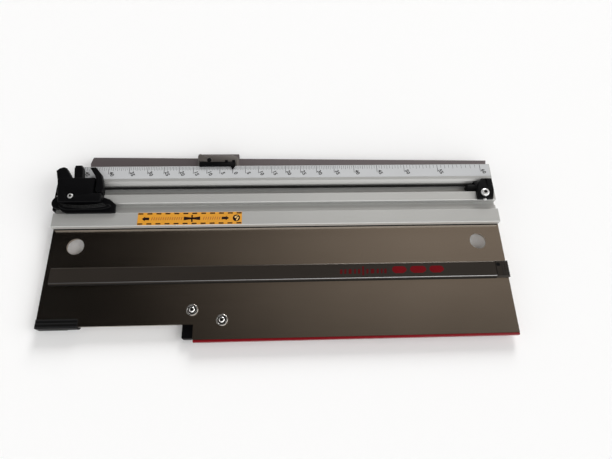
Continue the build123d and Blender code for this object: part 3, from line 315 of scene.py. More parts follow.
bed_steel = drawn_metal("brushed_bed_steel", (0.51, 0.44, 0.37), 0.19, 1.0, grain=0.05, clouds=0.06)
aluminium = drawn_metal("satin_aluminium", (0.50, 0.50, 0.485), 0.44, 0.45, grain=0.04, clouds=0.04)
rib_metal = drawn_metal("dark_anodised", (0.029, 0.024, 0.020), 0.40, 0.2, grain=0.05, clouds=0.08, shine=0.15)
strip_metal = drawn_metal("rolled_strip", (0.13, 0.11, 0.112), 0.48, 0.5, grain=0.05, clouds=0.10)
cast_metal = drawn_metal("slider_metal", (0.10, 0.088, 0.080), 0.50, 0.4, grain=0.03, clouds=0.14)
bright_steel = drawn_metal("bright_steel", (0.78, 0.78, 0.77), 0.30, 0.65, grain=0.04, clouds=0.05)
dark_steel = drawn_metal("blackened_steel", (0.12, 0.12, 0.12), 0.34, 0.9, grain=0.04, clouds=0.06)
polished_steel = drawn_metal("polished_steel", (0.80, 0.79, 0.77), 0.20, 1.0, grain=0.03, clouds=0.04)
bush_brass = drawn_metal("bush_brass", (0.62, 0.44, 0.18), 0.30, 1.0, grain=0.04, clouds=0.06)
print("metals: 9 finishes")

# %% [markdown]
# ## Plastic, rubber and foil
# Moulded plastic takes the skin of its mould: a fine, even pebble that breaks up the highlight. A noise of about
# half a millimetre in a bump draws it. The same recipe with other numbers gives the soft rubber and the smooth foils.


# %% Moulded finishes
def moulded(name, colour, roughness, pebble=0.5, depth=0.03, clouds=0.12, shine=0.5):
    """A moulded surface: pebble is the size of its texture in mm, depth its height in mm, shine its gloss."""
    material, net, shader = painted(name)
    where = net.add("ShaderNodeTexCoord", out="Object")
    skin = net.add("ShaderNodeTexNoise", None, {"Vector": where, "Scale": 1.0 / (pebble * MM), "Detail": 2.0})
    broad = net.add("ShaderNodeTexNoise", None, {"Vector": where, "Scale": 60.0, "Detail": 3.0})
    shade = (broad - 0.5) * (2 * clouds) + 1.0
    net.feed(shader.inputs["Base Color"],
             net.add("ShaderNodeVectorMath", {"operation": "SCALE"}, {0: colour[:3], "Scale": shade}))
    net.feed(shader.inputs["Roughness"], (skin - 0.5) * 0.12 + (broad - 0.5) * 0.10 + roughness)
    net.feed(shader.inputs["Normal"],
             net.add("ShaderNodeBump", None, {"Height": skin, "Distance": depth * MM, "Strength": 0.6}))
    shader.inputs["Specular IOR Level"].default_value = shine
    return material


black_plastic = moulded("moulded_black", (0.002, 0.002, 0.0024), 0.42, pebble=0.45, depth=0.02, shine=0.10)
gloss_black = moulded("gloss_black", (0.006, 0.006, 0.006), 0.28, pebble=0.6, depth=0.01, shine=0.5)
knurled_black = moulded("knurled_black", (0.003, 0.003, 0.003), 0.50, pebble=0.8, depth=0.05, shine=0.10)
red_plastic = moulded("guard_red", (0.20, 0.001, 0.006), 0.38, pebble=1.2, depth=0.01, clouds=0.06, shine=0.3)
worn_black = moulded("worn_black", (0.006, 0.006, 0.006), 0.34, pebble=0.8, depth=0.03, shine=0.28)
soft_rubber = moulded("grip_rubber", (0.030, 0.030, 0.030), 0.85, pebble=0.35, depth=0.06)
dark_nylon = moulded("dark_nylon", (0.050, 0.050, 0.052), 0.45, pebble=0.6, depth=0.01)
scale_foil = moulded("scale_foil", (0.52, 0.53, 0.54), 0.40, pebble=0.7, depth=0.004, clouds=0.03)
label_foil = moulded("label_foil", (0.68, 0.30, 0.024), 0.45, pebble=1.5, depth=0.004, clouds=0.05)
black_ink = moulded("black_ink", (0.010, 0.003, 0.004), 0.55, pebble=1.0, depth=0.002, shine=0.12)
scale_ink = moulded("scale_ink", (0.030, 0.028, 0.028), 0.55, pebble=1.0, depth=0.002, shine=0.2)
red_ink = moulded("red_ink", (0.13, 0.001, 0.004), 0.45, pebble=1.0, depth=0.004, shine=0.12)
pale_ink = moulded("pale_ink", (0.80, 0.50, 0.16), 0.50, pebble=1.0, depth=0.002)
print("moulded finishes: 13")

# %% [markdown]
# ## Which piece belongs where
# Each piece rides on the body that carries it, and the CAD node that it replaces is hidden. The body is already in
# the imported record, so one helper looks it up and makes the calls.

# %% Look up bodies
record = frame["record"]
BODY_OF = {node: body for body, members in record["behaviour"]["bodies"].items() for node in members}


def settle(piece, node, replace=True):
    """The piece rides on the node's body, and the node is hidden if the piece replaces it."""
    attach(piece, BODY_OF[node])
    if replace:
        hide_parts(node)
    triangles = sum(len(face.vertices) - 2 for face in piece.data.polygons)
    print(" ", piece.name, "on", BODY_OF[node], "with", triangles, "triangles")
    return piece


print("bodies:", sorted(set(BODY_OF.values())))

# %% [markdown]
# ## Metal that keeps its CAD shape
# The bed, the extrusion, the rib and what is hidden under them are plain machined shapes with hard edges, so their
# CAD meshes are already right. They only get their finish.

# %% Dress the nodes that keep their shape
FINISH = {
    "bed_plate": bed_steel, "rail_extrusion": aluminium, "guide_rib": rib_metal, "rib_screws": dark_steel,
    "bed_screws": dark_steel, "front_grip_strip": soft_rubber, "rear_grip_strip": soft_rubber,
    "front_stop_bush": bright_steel, "stop_nuts": bright_steel, "rear_guide_strip": strip_metal,
    "flange_rivets": dark_steel, "angle_scale": scale_foil, "park_label": label_foil,
    "pulley_axle": bright_steel, "pulley": dark_nylon, "pulley_bush": bush_brass, "block_nut": dark_steel,
    "cord_ferrule": bright_steel, "shoe_screws": dark_steel, "carriage_key": dark_nylon,
    "cord_knot": bright_steel, "glide_pads": dark_nylon, "latch_pin": dark_steel,
    "latch_spring": dark_steel, "latch_bush": dark_steel, "rear_stop_arm": strip_metal,
    "rear_stop_bush": bright_steel, "rear_stop_rivet": bright_steel, "arm_screws": dark_steel,
    "clamp_pad": dark_nylon, "rib_cap_screw": black_plastic,
}
for node_name, material in FINISH.items():
    nodes[node_name].data.materials.clear()
    nodes[node_name].data.materials.append(material)
print("dressed", len(FINISH), "nodes")

# %% [markdown]
# ## Moulded and turned pieces get soft edges
# A moulding never has a knife edge: its corners are rounded by the mould, and those small curves catch the light.
# The CAD mesh is loose triangles, so a copy is welded, its flat faces are joined again, and a Bevel modifier rolls
# every sharp edge over by a fraction of a millimetre. Its normals are smoothed across the curve and kept sharp
# elsewhere.


# %% Soften the edges of a copy
def softened(node, material, roll, steps=3):
    """A copy of a node with its edges rolled over by a number of millimetres, standing for the node."""
    mesh = bpy.data.meshes.new(node + "_soft")
    work = bmesh.new()
    work.from_mesh(nodes[node].data)
    bmesh.ops.remove_doubles(work, verts=work.verts, dist=0.002 * MM)
    bmesh.ops.dissolve_limit(work, angle_limit=math.radians(0.6), verts=work.verts, edges=work.edges)
    work.to_mesh(mesh)
    work.free()
    mesh.materials.clear()
    mesh.materials.append(material)
    piece = link_mesh(node + "_soft", mesh)
    bevel = piece.modifiers.new("roll", "BEVEL")
    bevel.width = roll * MM
    bevel.segments = steps
    bevel.limit_method = "ANGLE"
    bevel.angle_limit = math.radians(32)
    bevel.miter_outer = "MITER_ARC"
    return settle(plain(piece), node)


def plain(piece):
    """The piece with its modifiers worked into a plain, smoothly shaded mesh."""
    view = bpy.context.evaluated_depsgraph_get()
    mesh = bpy.data.meshes.new_from_object(piece.evaluated_get(view))
    piece.modifiers.clear()
    piece.data = mesh
    mesh.shade_smooth()
    mesh.set_sharp_from_angle(angle=math.radians(34))
    return piece


SOFT = {
    "carriage_body": (black_plastic, 0.35), "carriage_shoe": (black_plastic, 0.35),
    "latch_lever": (black_plastic, 0.35), "end_block": (black_plastic, 0.4), "left_end_cap": (black_plastic, 0.5),
    "front_stop_block": (black_plastic, 0.5), "corner_foot": (knurled_black, 0.3),
    "rib_cap": (rib_metal, 0.3), "splinter_guard": (red_plastic, 0.25), "slider_body": (cast_metal, 0.35),
    "pointer": (black_plastic, 0.2), "clamp_lever": (cast_metal, 0.3), "clamp_screw": (black_plastic, 0.15),
    "cup_washers": (polished_steel, 0.3), "stop_screws": (polished_steel, 0.15), "block_screw": (bright_steel, 0.15),
    "body_screw": (bright_steel, 0.15), "block_set_screw": (bright_steel, 0.1),
}
for node_name, (material, roll) in SOFT.items():
    softened(node_name, material, roll)
print("softened", len(SOFT), "pieces")

# %% [markdown]
# ## Painted shade in the sockets
# Shade falls in the socket of a screw and in the cup of a washer, and it is painted there: the faces that lie deep
# and close to a screw's own axis take a dark finish as painted shade. Each screw is an island of joined faces, and
# its axis is the middle of that island.


# %% Darken the sockets
def islands(work):
    """The separate groups of joined faces in a mesh."""
    waiting = set(work.faces)
    while waiting:
        group, border = set(), [next(iter(waiting))]
        while border:
            face = border.pop()
            if face in waiting:
                waiting.discard(face)
                group.add(face)
                border.extend(other for edge in face.edges for other in edge.link_faces)
        yield group


def darken(name, radius, sink):
    """Paint shade on the faces within a radius of each island's axis and deeper than sink below its top, in mm."""
    mesh = bpy.data.objects[name + "_soft"].data
    mesh.materials.append(painted_socket_shade)
    work = bmesh.new()
    work.from_mesh(mesh)
    for group in islands(work):
        corners = [vertex.co for face in group for vertex in face.verts]
        axis = [(min(c[k] for c in corners) + max(c[k] for c in corners)) / 2 for k in (0, 1)]
        top = max(c.z for c in corners)
        for face in group:
            near = all(math.dist(vertex.co[:2], axis) < radius * MM for vertex in face.verts)
            if near and face.calc_center_median().z < top - sink * MM:
                face.material_index = 1
    work.to_mesh(mesh)
    work.free()


# Painted shade: near-black colour for the recesses of sockets and washer cups.
painted_socket_shade = moulded("painted_socket_shade", (0.010, 0.009, 0.008), 0.6, pebble=0.6, depth=0.02, shine=0.15)
for name, radius, sink in [("cup_washers", 5.0, 0.5), ("stop_screws", 1.7, 0.5), ("block_screw", 2.5, 0.6),
                           ("body_screw", 1.85, 0.5)]:
    darken(name, radius, sink)
print("sockets darkened")

# %% [markdown]
# ## Growing what repeats
# Marks on a scale, dashes on a label and the points of a knurl all repeat one small shape by a rule. Geometry Nodes
# write that rule once, with its sizes as named inputs. Each tree ends by realizing its instances and setting their
# material. The result is then taken out as a plain mesh, so nothing depends on the tree afterwards.


# %% Helpers for growing
FLOAT, WHOLE, PLACE, PAINT = "NodeSocketFloat", "NodeSocketInt", "NodeSocketVector", "NodeSocketMaterial"


def rule(name, sizes):
    """A Geometry Nodes tree with named inputs, as its net and a dict of wires."""
    tree = bpy.data.node_groups.new(name, "GeometryNodeTree")
    for label, kind in {**sizes, "Finish": PAINT}.items():
        tree.interface.new_socket(label, in_out="INPUT", socket_type=kind)
    tree.interface.new_socket("Mesh", in_out="OUTPUT", socket_type="NodeSocketGeometry")
    net = Net(tree)
    entry = tree.nodes.new("NodeGroupInput")
    return net, {label: Wire(net, entry.outputs[label]) for label in [*sizes, "Finish"]}


def end_rule(net, shape, finish):
    """Realize the instances, set their material and send them out."""
    real = net.add("GeometryNodeRealizeInstances", None, {"Geometry": shape})
    painted_shape = net.add("GeometryNodeSetMaterial", None, {"Geometry": real, "Material": finish})
    leave = net.tree.nodes.new("NodeGroupOutput")
    net.feed(leave.inputs["Mesh"], painted_shape)


def grown(name, net, sizes):
    """The mesh that a tree grows from these sizes, as a plain object."""
    piece = link_mesh(name, bpy.data.meshes.new(name))
    grow = piece.modifiers.new("grow", "NODES")
    grow.node_group = net.tree
    for item in net.tree.interface.items_tree:
        if item.in_out == "INPUT":
            grow[item.identifier] = sizes[item.name]
    return plain(piece)


print("growing helpers ready")

# %% [markdown]
# ## The angle scale
# The saw cuts square when the work touches both stops. Sliding the rear stop by a distance turns the work by the
# angle whose tangent is that distance over the gap between the stops. So the marks crowd together round zero and
# spread towards the ends. The tree places one mark per half degree with exactly that sum. Whole degrees are a little
# longer than halves, and every fifth degree is the longest.

# %% Grow the degree marks
foil_low, foil_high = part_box("angle_scale")
INK = 0.03 * MM
net, size = rule("degree_marks", {"Zero": FLOAT, "Span": FLOAT, "First": FLOAT, "Step": FLOAT, "Count": WHOLE,
                                  "Edge": FLOAT, "Face": FLOAT, "Long": FLOAT, "Middle": FLOAT, "Short": FLOAT,
                                  "Width": FLOAT, "Ink": FLOAT})
degree = net.add("GeometryNodeInputIndex") * size["Step"] + size["First"]
along = size["Zero"] + size["Span"] * net.math("TANGENT", net.math("RADIANS", degree))
dots = net.add("GeometryNodeMeshLine", None, {"Count": size["Count"]})
dots = net.add("GeometryNodeSetPosition", None, {"Geometry": dots, "Position": net.add(
    "ShaderNodeCombineXYZ", None, {"X": along, "Y": size["Edge"], "Z": size["Face"]})})
is_fifth = net.math("LESS_THAN", (degree + 200.0) % 5.0, 0.1)
is_whole = net.math("LESS_THAN", (degree + 200.0) % 1.0, 0.1)
length = size["Short"] + (size["Middle"] - size["Short"]) * is_whole + (size["Long"] - size["Middle"]) * is_fifth
mark = net.add("GeometryNodeMeshCube", None, {"Size": (1, 1, 1)})
mark = net.add("GeometryNodeTransform", None, {"Geometry": mark, "Translation": (0, -0.5, 0.5)})
marks = net.add("GeometryNodeInstanceOnPoints", None, {
    "Points": dots, "Instance": mark, "Scale": net.add(
        "ShaderNodeCombineXYZ", None, {"X": size["Width"] * (is_fifth * 0.6 + 1.0), "Y": length,
                                       "Z": size["Ink"]})})
end_rule(net, marks, size["Finish"])
FIRST_DEGREE, LAST_DEGREE = -45, 60
degree_marks = grown("degree_marks", net, {
    "Zero": zero_x, "Span": stop_span, "First": float(FIRST_DEGREE), "Step": 0.5,
    "Count": 2 * (LAST_DEGREE - FIRST_DEGREE) + 1, "Edge": foil_high.y - 0.3 * MM, "Face": foil_high.z,
    "Long": 10.2 * MM, "Middle": 5.4 * MM, "Short": 4.4 * MM, "Width": 0.36 * MM, "Ink": INK, "Finish": scale_ink})
settle(degree_marks, "angle_scale", replace=False)

# %% [markdown]
# ## Numbers on the scale
# A number stands beside every fifth mark, turned so that it reads from the end where the hand slides the stop.
# Blender's own text object draws each one. It is made into a mesh before its place is applied, and all of them are
# joined into one printed layer.


# %% Print the numbers
def lettering(text, size, x, y, z, turn):
    """A number as a thin printed mesh centred on a place, turned about Z by a number of degrees."""
    curve = bpy.data.curves.new("number", "FONT")
    curve.body = text
    curve.size = size
    curve.extrude = INK / 2
    curve.resolution_u = 2
    curve.offset = 0.03 * size
    curve.align_x = "CENTER"
    curve.align_y = "CENTER"
    text_object = bpy.data.objects.new("number", curve)
    bpy.context.scene.collection.objects.link(text_object)
    view = bpy.context.evaluated_depsgraph_get()
    mesh = bpy.data.meshes.new_from_object(text_object.evaluated_get(view))
    mesh.transform(Matrix.Translation((x, y, z)) @ Matrix.Rotation(math.radians(turn), 4, "Z"))
    bpy.data.objects.remove(text_object)
    return mesh


def joined(name, meshes, material):
    """One object from several meshes, in one material."""
    work = bmesh.new()
    for mesh in meshes:
        work.from_mesh(mesh)
        bpy.data.meshes.remove(mesh)
    whole = bpy.data.meshes.new(name)
    work.to_mesh(whole)
    work.free()
    whole.materials.clear()
    whole.materials.append(material)
    for face in whole.polygons:
        face.material_index = 0
    return link_mesh(name, whole)


def scale_x(angle):
    """Where an angle in degrees lies along the scale."""
    return zero_x + stop_span * math.tan(math.radians(angle))


DIGIT_SIZE, DIGIT_BESIDE, DIGIT_FROM_EDGE, DIGIT_TURN = 6.6 * MM, 3.9 * MM, 10.2 * MM, -66
digits = [lettering(str(abs(angle)), DIGIT_SIZE, scale_x(angle) + DIGIT_BESIDE, foil_high.y - DIGIT_FROM_EDGE,
                    foil_high.z + INK / 2, DIGIT_TURN)
          for angle in range(FIRST_DEGREE, LAST_DEGREE + 1, 5)]
settle(joined("scale_numbers", digits, scale_ink), "angle_scale", replace=False)

# %% [markdown]
# ## The park label
# The foil on the front beam tells the user where the saw is parked: an arrow each way, a saw blade seen on edge in
# the middle, dashes along both borders, fine hatching between them, and a round sign at the right. Flat outlines
# raised by the thickness of ink make the shapes, and a tree grows the two rows of dashes.


# %% Grow the dashes and print the signs
def printed(name, outlines, face, material):
    """Flat closed outlines in X and Y, raised by the thickness of ink."""
    work = bmesh.new()
    for outline in outlines:
        lower = [work.verts.new((x, y, face)) for x, y in outline]
        upper = [work.verts.new((x, y, face + INK)) for x, y in outline]
        work.faces.new(upper)
        work.faces.new(lower[::-1])
        for i, corner in enumerate(lower):
            after = (i + 1) % len(lower)
            work.faces.new((corner, lower[after], upper[after], upper[i]))
    bmesh.ops.recalc_face_normals(work, faces=work.faces)
    mesh = bpy.data.meshes.new(name)
    work.to_mesh(mesh)
    work.free()
    mesh.materials.append(material)
    return link_mesh(name, mesh)


def round_outline(x, y, radius, steps=40):
    """A circle as an outline."""
    return [(x + radius * math.cos(2 * math.pi * i / steps), y + radius * math.sin(2 * math.pi * i / steps))
            for i in range(steps)]


label_low, label_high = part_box("park_label")
label_y = (label_low.y + label_high.y) / 2
net, size = rule("dash_rows", {"First": PLACE, "Along": PLACE, "Across": PLACE, "Count": WHOLE, "Dash": PLACE})
row = net.add("GeometryNodeMeshLine", None, {"Count": size["Count"], "Start Location": size["First"],
                                             "Offset": size["Along"]})
other_row = net.add("GeometryNodeTransform", None, {"Geometry": row, "Translation": size["Across"]})
rows = net.add("GeometryNodeJoinGeometry")
net.feed(rows.socket.node.inputs[0], row)
net.feed(rows.socket.node.inputs[0], other_row)
dash = net.add("GeometryNodeMeshCube", None, {"Size": size["Dash"]})
end_rule(net, net.add("GeometryNodeInstanceOnPoints", None, {"Points": rows, "Instance": dash}), size["Finish"])
DASHES, END_MARGIN, SIDE_MARGIN = 12, 3.4 * MM, 1.5 * MM
label_length = label_high.x - label_low.x
dashes = grown("label_dashes", net, {
    "First": (label_low.x + END_MARGIN, label_low.y + SIDE_MARGIN, label_high.z + INK / 2),
    "Along": ((label_length - 2 * END_MARGIN) / (DASHES - 1), 0, 0),
    "Across": (0, label_high.y - label_low.y - 2 * SIDE_MARGIN, 0), "Count": DASHES,
    "Dash": (5.9 * MM, 1.7 * MM, INK), "Finish": black_ink})
settle(dashes, "park_label", replace=False)


def on_label(points):
    """Points in millimetres from the label's left end and middle line."""
    return [(label_low.x + x * MM, label_y + y * MM) for x, y in points]


def arrow(x, way):
    """A short fat arrow whose tip is at x and points left (-1) or right (1)."""
    return on_label([(x, 0), (x - way * 3.8, 2.9), (x - way * 3.8, 1.7), (x - way * 8.8, 1.7),
                     (x - way * 8.8, -1.7), (x - way * 3.8, -1.7), (x - way * 3.8, -2.9)])


BLADE_X, SIGN_X = 64.4, 117.4
signs = [arrow(5.0, -1), arrow(108.6, 1),
         on_label([(BLADE_X - 9.8, 2.4), (BLADE_X - 9.8, -2.4), (BLADE_X, -1.1), (BLADE_X, 1.1)]),
         on_label([(BLADE_X + 9.8, 2.4), (BLADE_X, 1.1), (BLADE_X, -1.1), (BLADE_X + 9.8, -2.4)]),
         on_label([(BLADE_X - 0.9, -4.6), (BLADE_X + 0.9, -4.6), (BLADE_X + 0.9, 4.6), (BLADE_X - 0.9, 4.6)]),
         on_label(round_outline(SIGN_X, 0, 4.4))]
settle(printed("label_signs", signs, label_high.z, black_ink), "park_label", replace=False)
light_signs = [on_label(round_outline(SIGN_X - 0.9, 1.2, 1.3)),
               on_label([(SIGN_X - 0.6, -3.2), (SIGN_X + 0.9, -3.4), (SIGN_X + 2.9, 0.6), (SIGN_X + 1.6, 1.6)]),
               on_label([(SIGN_X + 0.4, 2.0), (SIGN_X + 1.6, 2.4), (SIGN_X + 1.2, 3.3), (SIGN_X + 0.2, 3.2)])]
settle(printed("label_light_signs", light_signs, label_high.z + INK, pale_ink), "park_label", replace=False)
HATCH_STEP = 2.7
hatched = [16.5 + HATCH_STEP * i for i in range(14)] + [78.0 + HATCH_STEP * i for i in range(8)]
faint = [on_label([(x - 0.5, -1.9), (x + 0.5, -1.9), (x + 1.5, 1.9), (x + 0.5, 1.9)]) for x in hatched]
faint_ink = moulded("faint_ink", (0.36, 0.12, 0.02), 0.5, pebble=1.0, depth=0.002)
settle(printed("label_fine_marks", faint, label_high.z, faint_ink), "park_label", replace=False)

# %% [markdown]
# ## Red marks on the rib
# The rib carries red print on its right half: a row of short bars and three long lozenges. They are the same kind of
# raised outline as the label's signs, laid on the rib's flat top.

# %% Print the rib
rib_low, rib_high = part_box("guide_rib")
rib_y = (rib_low.y + rib_high.y) / 2


def on_rib(points):
    """Points in millimetres, with y from the rib's middle line."""
    return [(x * MM, rib_y + y * MM) for x, y in points]


def slanted(x, width, low, high, lean=0.6):
    """A leaning bar."""
    return on_rib([(x, low), (x + width, low), (x + width + lean, high), (x + lean, high)])


def lozenge(x, width, half):
    """A rounded lozenge that leans forward."""
    shape = [(1.0, -half * 0.55), (4.0, -half), (width - 5.0, -half), (width - 1.2, -half * 0.5), (width, 0.4),
             (width - 1.6, half * 0.75), (width - 4.5, half), (3.0, half), (0.6, half * 0.6), (0, 0)]
    return on_rib([(x + across, up + 0.4) for across, up in shape])


BARS = [(69, 2.6), (74, 2.2), (79, 3.4), (85.5, 2.0), (90, 2.6), (100, 2.2), (105, 4.0), (112, 2.4), (117, 1.8),
        (121, 2.6)]
bars = [slanted(x, width, -3.6, 2.0) for x, width in BARS] + [slanted(95.0, 2.2, -5.6, 5.4)]
thin_red_ink = moulded("thin_red_ink", (0.085, 0.002, 0.004), 0.45, shine=0.12)
settle(printed("rib_bars", bars, rib_high.z, thin_red_ink), "guide_rib", replace=False)
blobs = [lozenge(130.5, 17.5, 4.3), lozenge(152.0, 19.5, 4.3), lozenge(175.0, 17.5, 4.3)]
settle(printed("rib_lozenges", blobs, rib_high.z, red_ink), "guide_rib", replace=False)

# %% [markdown]
# ## The rib's painted edge highlight
# A thin strip along the rib's front top edge is given pale metal colour as a painted highlight, brighter towards the
# right, as the light is. Below it a black strip against the rib's foot is painted shadow.

# %% Paint the edge highlight and the foot shadow
def outward(mesh):
    """The mesh with every face turned outwards."""
    work = bmesh.new()
    work.from_mesh(mesh)
    bmesh.ops.recalc_face_normals(work, faces=work.faces)
    work.to_mesh(mesh)
    work.free()
    return mesh


def bar(name, x0, x1, section, material):
    """A straight bar along X from a section of four (y, z) corners."""
    ends = [[(x, y, z) for y, z in section] for x in (x0, x1)]
    sides = [(i, i + 4, (i + 1) % 4 + 4, (i + 1) % 4) for i in range(4)]
    mesh = bpy.data.meshes.new(name)
    mesh.from_pydata(ends[0] + ends[1], [], [(0, 1, 2, 3), (7, 6, 5, 4)] + sides)
    mesh.materials.append(material)
    return link_mesh(name, outward(mesh))


# Painted highlight: pale colour along the rib's front edge, brightening from left to right.
painted_edge_highlight, net, shader = painted("painted_edge_highlight")
along_rib = net.split(net.add("ShaderNodeTexCoord", out="Object"))[0]
bright = net.add("ShaderNodeMapRange", {"interpolation_type": "SMOOTHSTEP"},
                 {"Value": along_rib, "From Min": -0.25, "From Max": 0.20, "To Min": 0.03, "To Max": 0.60})
net.feed(shader.inputs["Base Color"], net.add("ShaderNodeCombineColor", None, {0: bright, 1: bright, 2: bright}))
shader.inputs["Roughness"].default_value = 0.35
cap_low, cap_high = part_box("rib_cap")
SHOULDER, HIGHLIGHT_WIDTH = 1.6 * MM, 0.45 * MM
edge_y, edge_z = rib_low.y + SHOULDER, rib_high.z
settle(bar("rib_edge_highlight", rib_low.x, cap_low.x, [
    (edge_y, edge_z), (edge_y - HIGHLIGHT_WIDTH, edge_z - HIGHLIGHT_WIDTH), (edge_y - HIGHLIGHT_WIDTH - INK, edge_z - HIGHLIGHT_WIDTH + INK),
    (edge_y - INK, edge_z + INK)], painted_edge_highlight), "guide_rib", replace=False)
# Painted shadow: a black strip along the rib's front foot.
shadow_top = rib_high.z - SHOULDER
SHADOW_FOOT, SHADOW_LIP = 0.9 * MM, 0.2 * MM
settle(bar("rib_foot_shadow", rib_low.x + 1 * MM, cap_low.x, [
    (rib_low.y, bed_high.z), (rib_low.y - SHADOW_FOOT, bed_high.z), (rib_low.y - SHADOW_LIP, shadow_top),
    (rib_low.y, shadow_top)], black_plastic), "guide_rib", replace=False)

# %% [markdown]
# ## Knurled grips
# The corner foot and the rib's end cap are covered in small points, so that a thumb can hold them. The tree lays a
# grid and stands a four-sided point on each crossing, with its corners towards its neighbours, as a file's teeth are.

# %% Grow the knurls
net, size = rule("knurl", {"Length": FLOAT, "Width": FLOAT, "Columns": WHOLE, "Rows": WHOLE, "Centre": PLACE,
                           "Radius": FLOAT, "Height": FLOAT})
mesh_grid = net.add("GeometryNodeMeshGrid", None, {"Size X": size["Length"], "Size Y": size["Width"],
                                                   "Vertices X": size["Columns"], "Vertices Y": size["Rows"]})
mesh_grid = net.add("GeometryNodeTransform", None, {"Geometry": mesh_grid, "Translation": size["Centre"]})
point = net.add("GeometryNodeMeshCone", None, {"Vertices": 4, "Radius Top": size["Radius"] * 0.3,
                                               "Radius Bottom": size["Radius"], "Depth": size["Height"]})
end_rule(net, net.add("GeometryNodeInstanceOnPoints", None, {"Points": mesh_grid, "Instance": point}),
         size["Finish"])


PITCH_MM, BITE_MM = 2.3, 0.1


def knurl(name, node, left, right, rim):
    """Points over a node's top face, kept clear of its left, its right and its front and rear edges by mm."""
    low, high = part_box(node)
    x0, x1 = low.x + left * MM, high.x - right * MM
    y0, y1 = low.y + rim * MM, high.y - rim * MM
    points = grown(name, net, {
        "Length": x1 - x0, "Width": y1 - y0, "Columns": max(2, round((x1 - x0) / (PITCH_MM * MM))),
        "Rows": max(2, round((y1 - y0) / (PITCH_MM * MM))),
        "Centre": ((x0 + x1) / 2, (y0 + y1) / 2, high.z - BITE_MM * MM),
        "Radius": 1.05 * MM, "Height": 0.6 * MM, "Finish": worn_black})
    points.data.shade_flat()
    return settle(points, node, replace=False)


knurl("foot_knurl", "corner_foot", left=1.5, right=1.5, rim=1.2)
knurl("cap_knurl", "rib_cap", left=8.0, right=2.0, rim=2.0)

# %% [markdown]
# ## Grip ridges on the shoe
# The shoe is pushed with a finger, so its top carries a few low ridges that follow its curved front. One bent line
# with a round section is one ridge, and the tree sets copies of it side by side.

# %% Grow the ridges
net, size = rule("ridges", {"Start": PLACE, "Bend": PLACE, "End": PLACE, "Radius": FLOAT, "Count": WHOLE,
                            "Step": PLACE})
path = net.add("GeometryNodeCurveQuadraticBezier", None, {
    "Resolution": 24, "Start": size["Start"], "Middle": size["Bend"], "End": size["End"]})
section = net.add("GeometryNodeCurvePrimitiveCircle", None, {"Resolution": 10, "Radius": size["Radius"]})
ridge = net.add("GeometryNodeCurveToMesh", None, {"Curve": path, "Profile Curve": section, "Fill Caps": True})
places = net.add("GeometryNodeMeshLine", None, {"Count": size["Count"], "Offset": size["Step"]})
end_rule(net, net.add("GeometryNodeInstanceOnPoints", None, {"Points": places, "Instance": ridge}), size["Finish"])
shoe_low, shoe_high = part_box("carriage_shoe")
ridge_z = shoe_high.z - BITE_MM * MM
ridges = grown("shoe_ridges", net, {
    "Start": (shoe_low.x + 5.5 * MM, shoe_low.y + 8.0 * MM, ridge_z),
    "Bend": (shoe_low.x + 30 * MM, shoe_low.y + 2.5 * MM, ridge_z),
    "End": (shoe_high.x - 10.5 * MM, shoe_low.y + 8.0 * MM, ridge_z),
    "Radius": 0.5 * MM, "Count": 3, "Step": (-1.8 * MM, 1.6 * MM, 0), "Finish": gloss_black})
settle(ridges, "carriage_shoe", replace=False)

# %% [markdown]
# ## A painted shadow along the beam's foot
# Where the extrusion stands on the bed, a thin black strip is painted shadow: the black line along the foot of the
# front beam. The strip is a bar with a sloping front.

# %% Lay the painted shadow strip
# Painted shadow: a black strip along the front beam's foot on the bed.
SHADOW_STRIP_HEIGHT, SHADOW_STRIP_REACH = 1.6 * MM, 1.0 * MM
foot_y, foot_z = rail_low.y, bed_high.z
foot_shadow_strip = bar("beam_foot_shadow", rail_low.x + 1 * MM, rail_high.x - 1 * MM, [
    (foot_y, foot_z), (foot_y - SHADOW_STRIP_REACH, foot_z), (foot_y - SHADOW_STRIP_REACH * 0.4, foot_z + SHADOW_STRIP_HEIGHT * 0.7),
    (foot_y, foot_z + SHADOW_STRIP_HEIGHT)], black_plastic)
settle(foot_shadow_strip, "rail_extrusion", replace=False)

# %% [markdown]
# ## The elastic cord
# The cord has a braided cover. Its long strand lies still in the channel, so its CAD tube only needs the braid: two
# waves that wind round it in opposite ways, raised where both are high. The short strand from the pulley to the
# carriage grows as the carriage travels, and it is drawn as a tube of many rings.

# %% Braid the cord and build its short strand
strand_low, strand_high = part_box("cord_return_strand")
fixed_low, fixed_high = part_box("cord_fixed_strand")
cord_radius = (strand_high.z - strand_low.z) / 2
cord_z = (strand_high.z + strand_low.z) / 2
BRAID_TURNS, BRAID_STARTS = 2400.0, 5.0


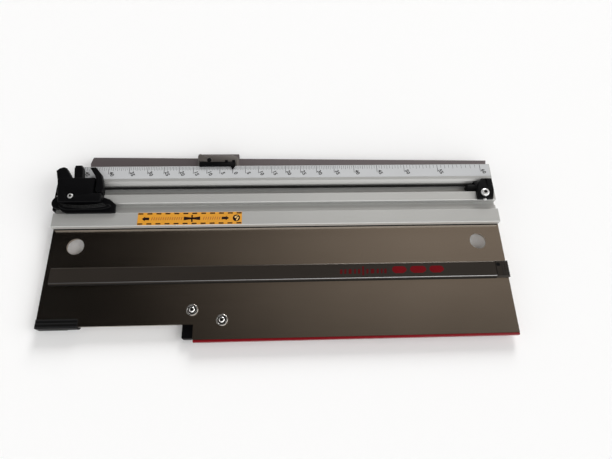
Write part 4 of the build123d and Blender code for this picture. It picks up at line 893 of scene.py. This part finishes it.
def braided(name, line_y):
    """The cord's black cover round a line along X."""
    material, net, shader = painted(name)
    x, y, z = net.split(net.add("ShaderNodeTexCoord", out="Object"))
    angle = net.math("ARCTAN2", z - cord_z, y - line_y) * BRAID_STARTS
    one_way = net.math("SINE", x * BRAID_TURNS + angle)
    other_way = net.math("SINE", x * BRAID_TURNS - angle)
    braid = one_way * other_way
    shader.inputs["Base Color"].default_value = (0.004, 0.004, 0.004, 1)
    net.feed(shader.inputs["Roughness"], braid * 0.08 + 0.72)
    net.feed(shader.inputs["Normal"], net.add("ShaderNodeBump", None, {"Height": braid, "Distance": 0.12 * MM}))
    shader.inputs["Specular IOR Level"].default_value = 0.2
    return material


nodes["cord_fixed_strand"].data.materials.clear()
nodes["cord_fixed_strand"].data.materials.append(braided("fixed_braid", fixed_high.y - cord_radius))
strand_y = (strand_low.y + strand_high.y) / 2
RINGS, AROUND = 61, 20
work = bmesh.new()
rings = []
for step in range(RINGS):
    x = strand_low.x + (strand_high.x - strand_low.x) * step / (RINGS - 1)
    rings.append([work.verts.new((x, strand_y + cord_radius * math.cos(2 * math.pi * k / AROUND),
                                  cord_z + cord_radius * math.sin(2 * math.pi * k / AROUND)))
                  for k in range(AROUND)])
for ring, after in zip(rings, rings[1:]):
    for k in range(AROUND):
        work.faces.new((ring[k], after[k], after[(k + 1) % AROUND], ring[(k + 1) % AROUND]))
work.faces.new(rings[0])
work.faces.new(rings[-1][::-1])
bmesh.ops.recalc_face_normals(work, faces=work.faces)
strand_mesh = bpy.data.meshes.new("stretching_strand")
work.to_mesh(strand_mesh)
work.free()
strand_mesh.shade_smooth()
strand_mesh.materials.append(braided("stretch_braid", strand_y))
strand = link_mesh("stretching_strand", strand_mesh)
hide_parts("cord_return_strand")
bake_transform(strand)
print("cord radius", round(cord_radius / MM, 2), "mm")

# %% [markdown]
# ## The shown box
# The box of the CAD was taken at the start; the box of what is shown is taken here and printed.

# %% Finish
visual_box = [list(corner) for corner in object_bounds()]
print("visual box", [[round(value / MM, 1) for value in corner] for corner in visual_box])
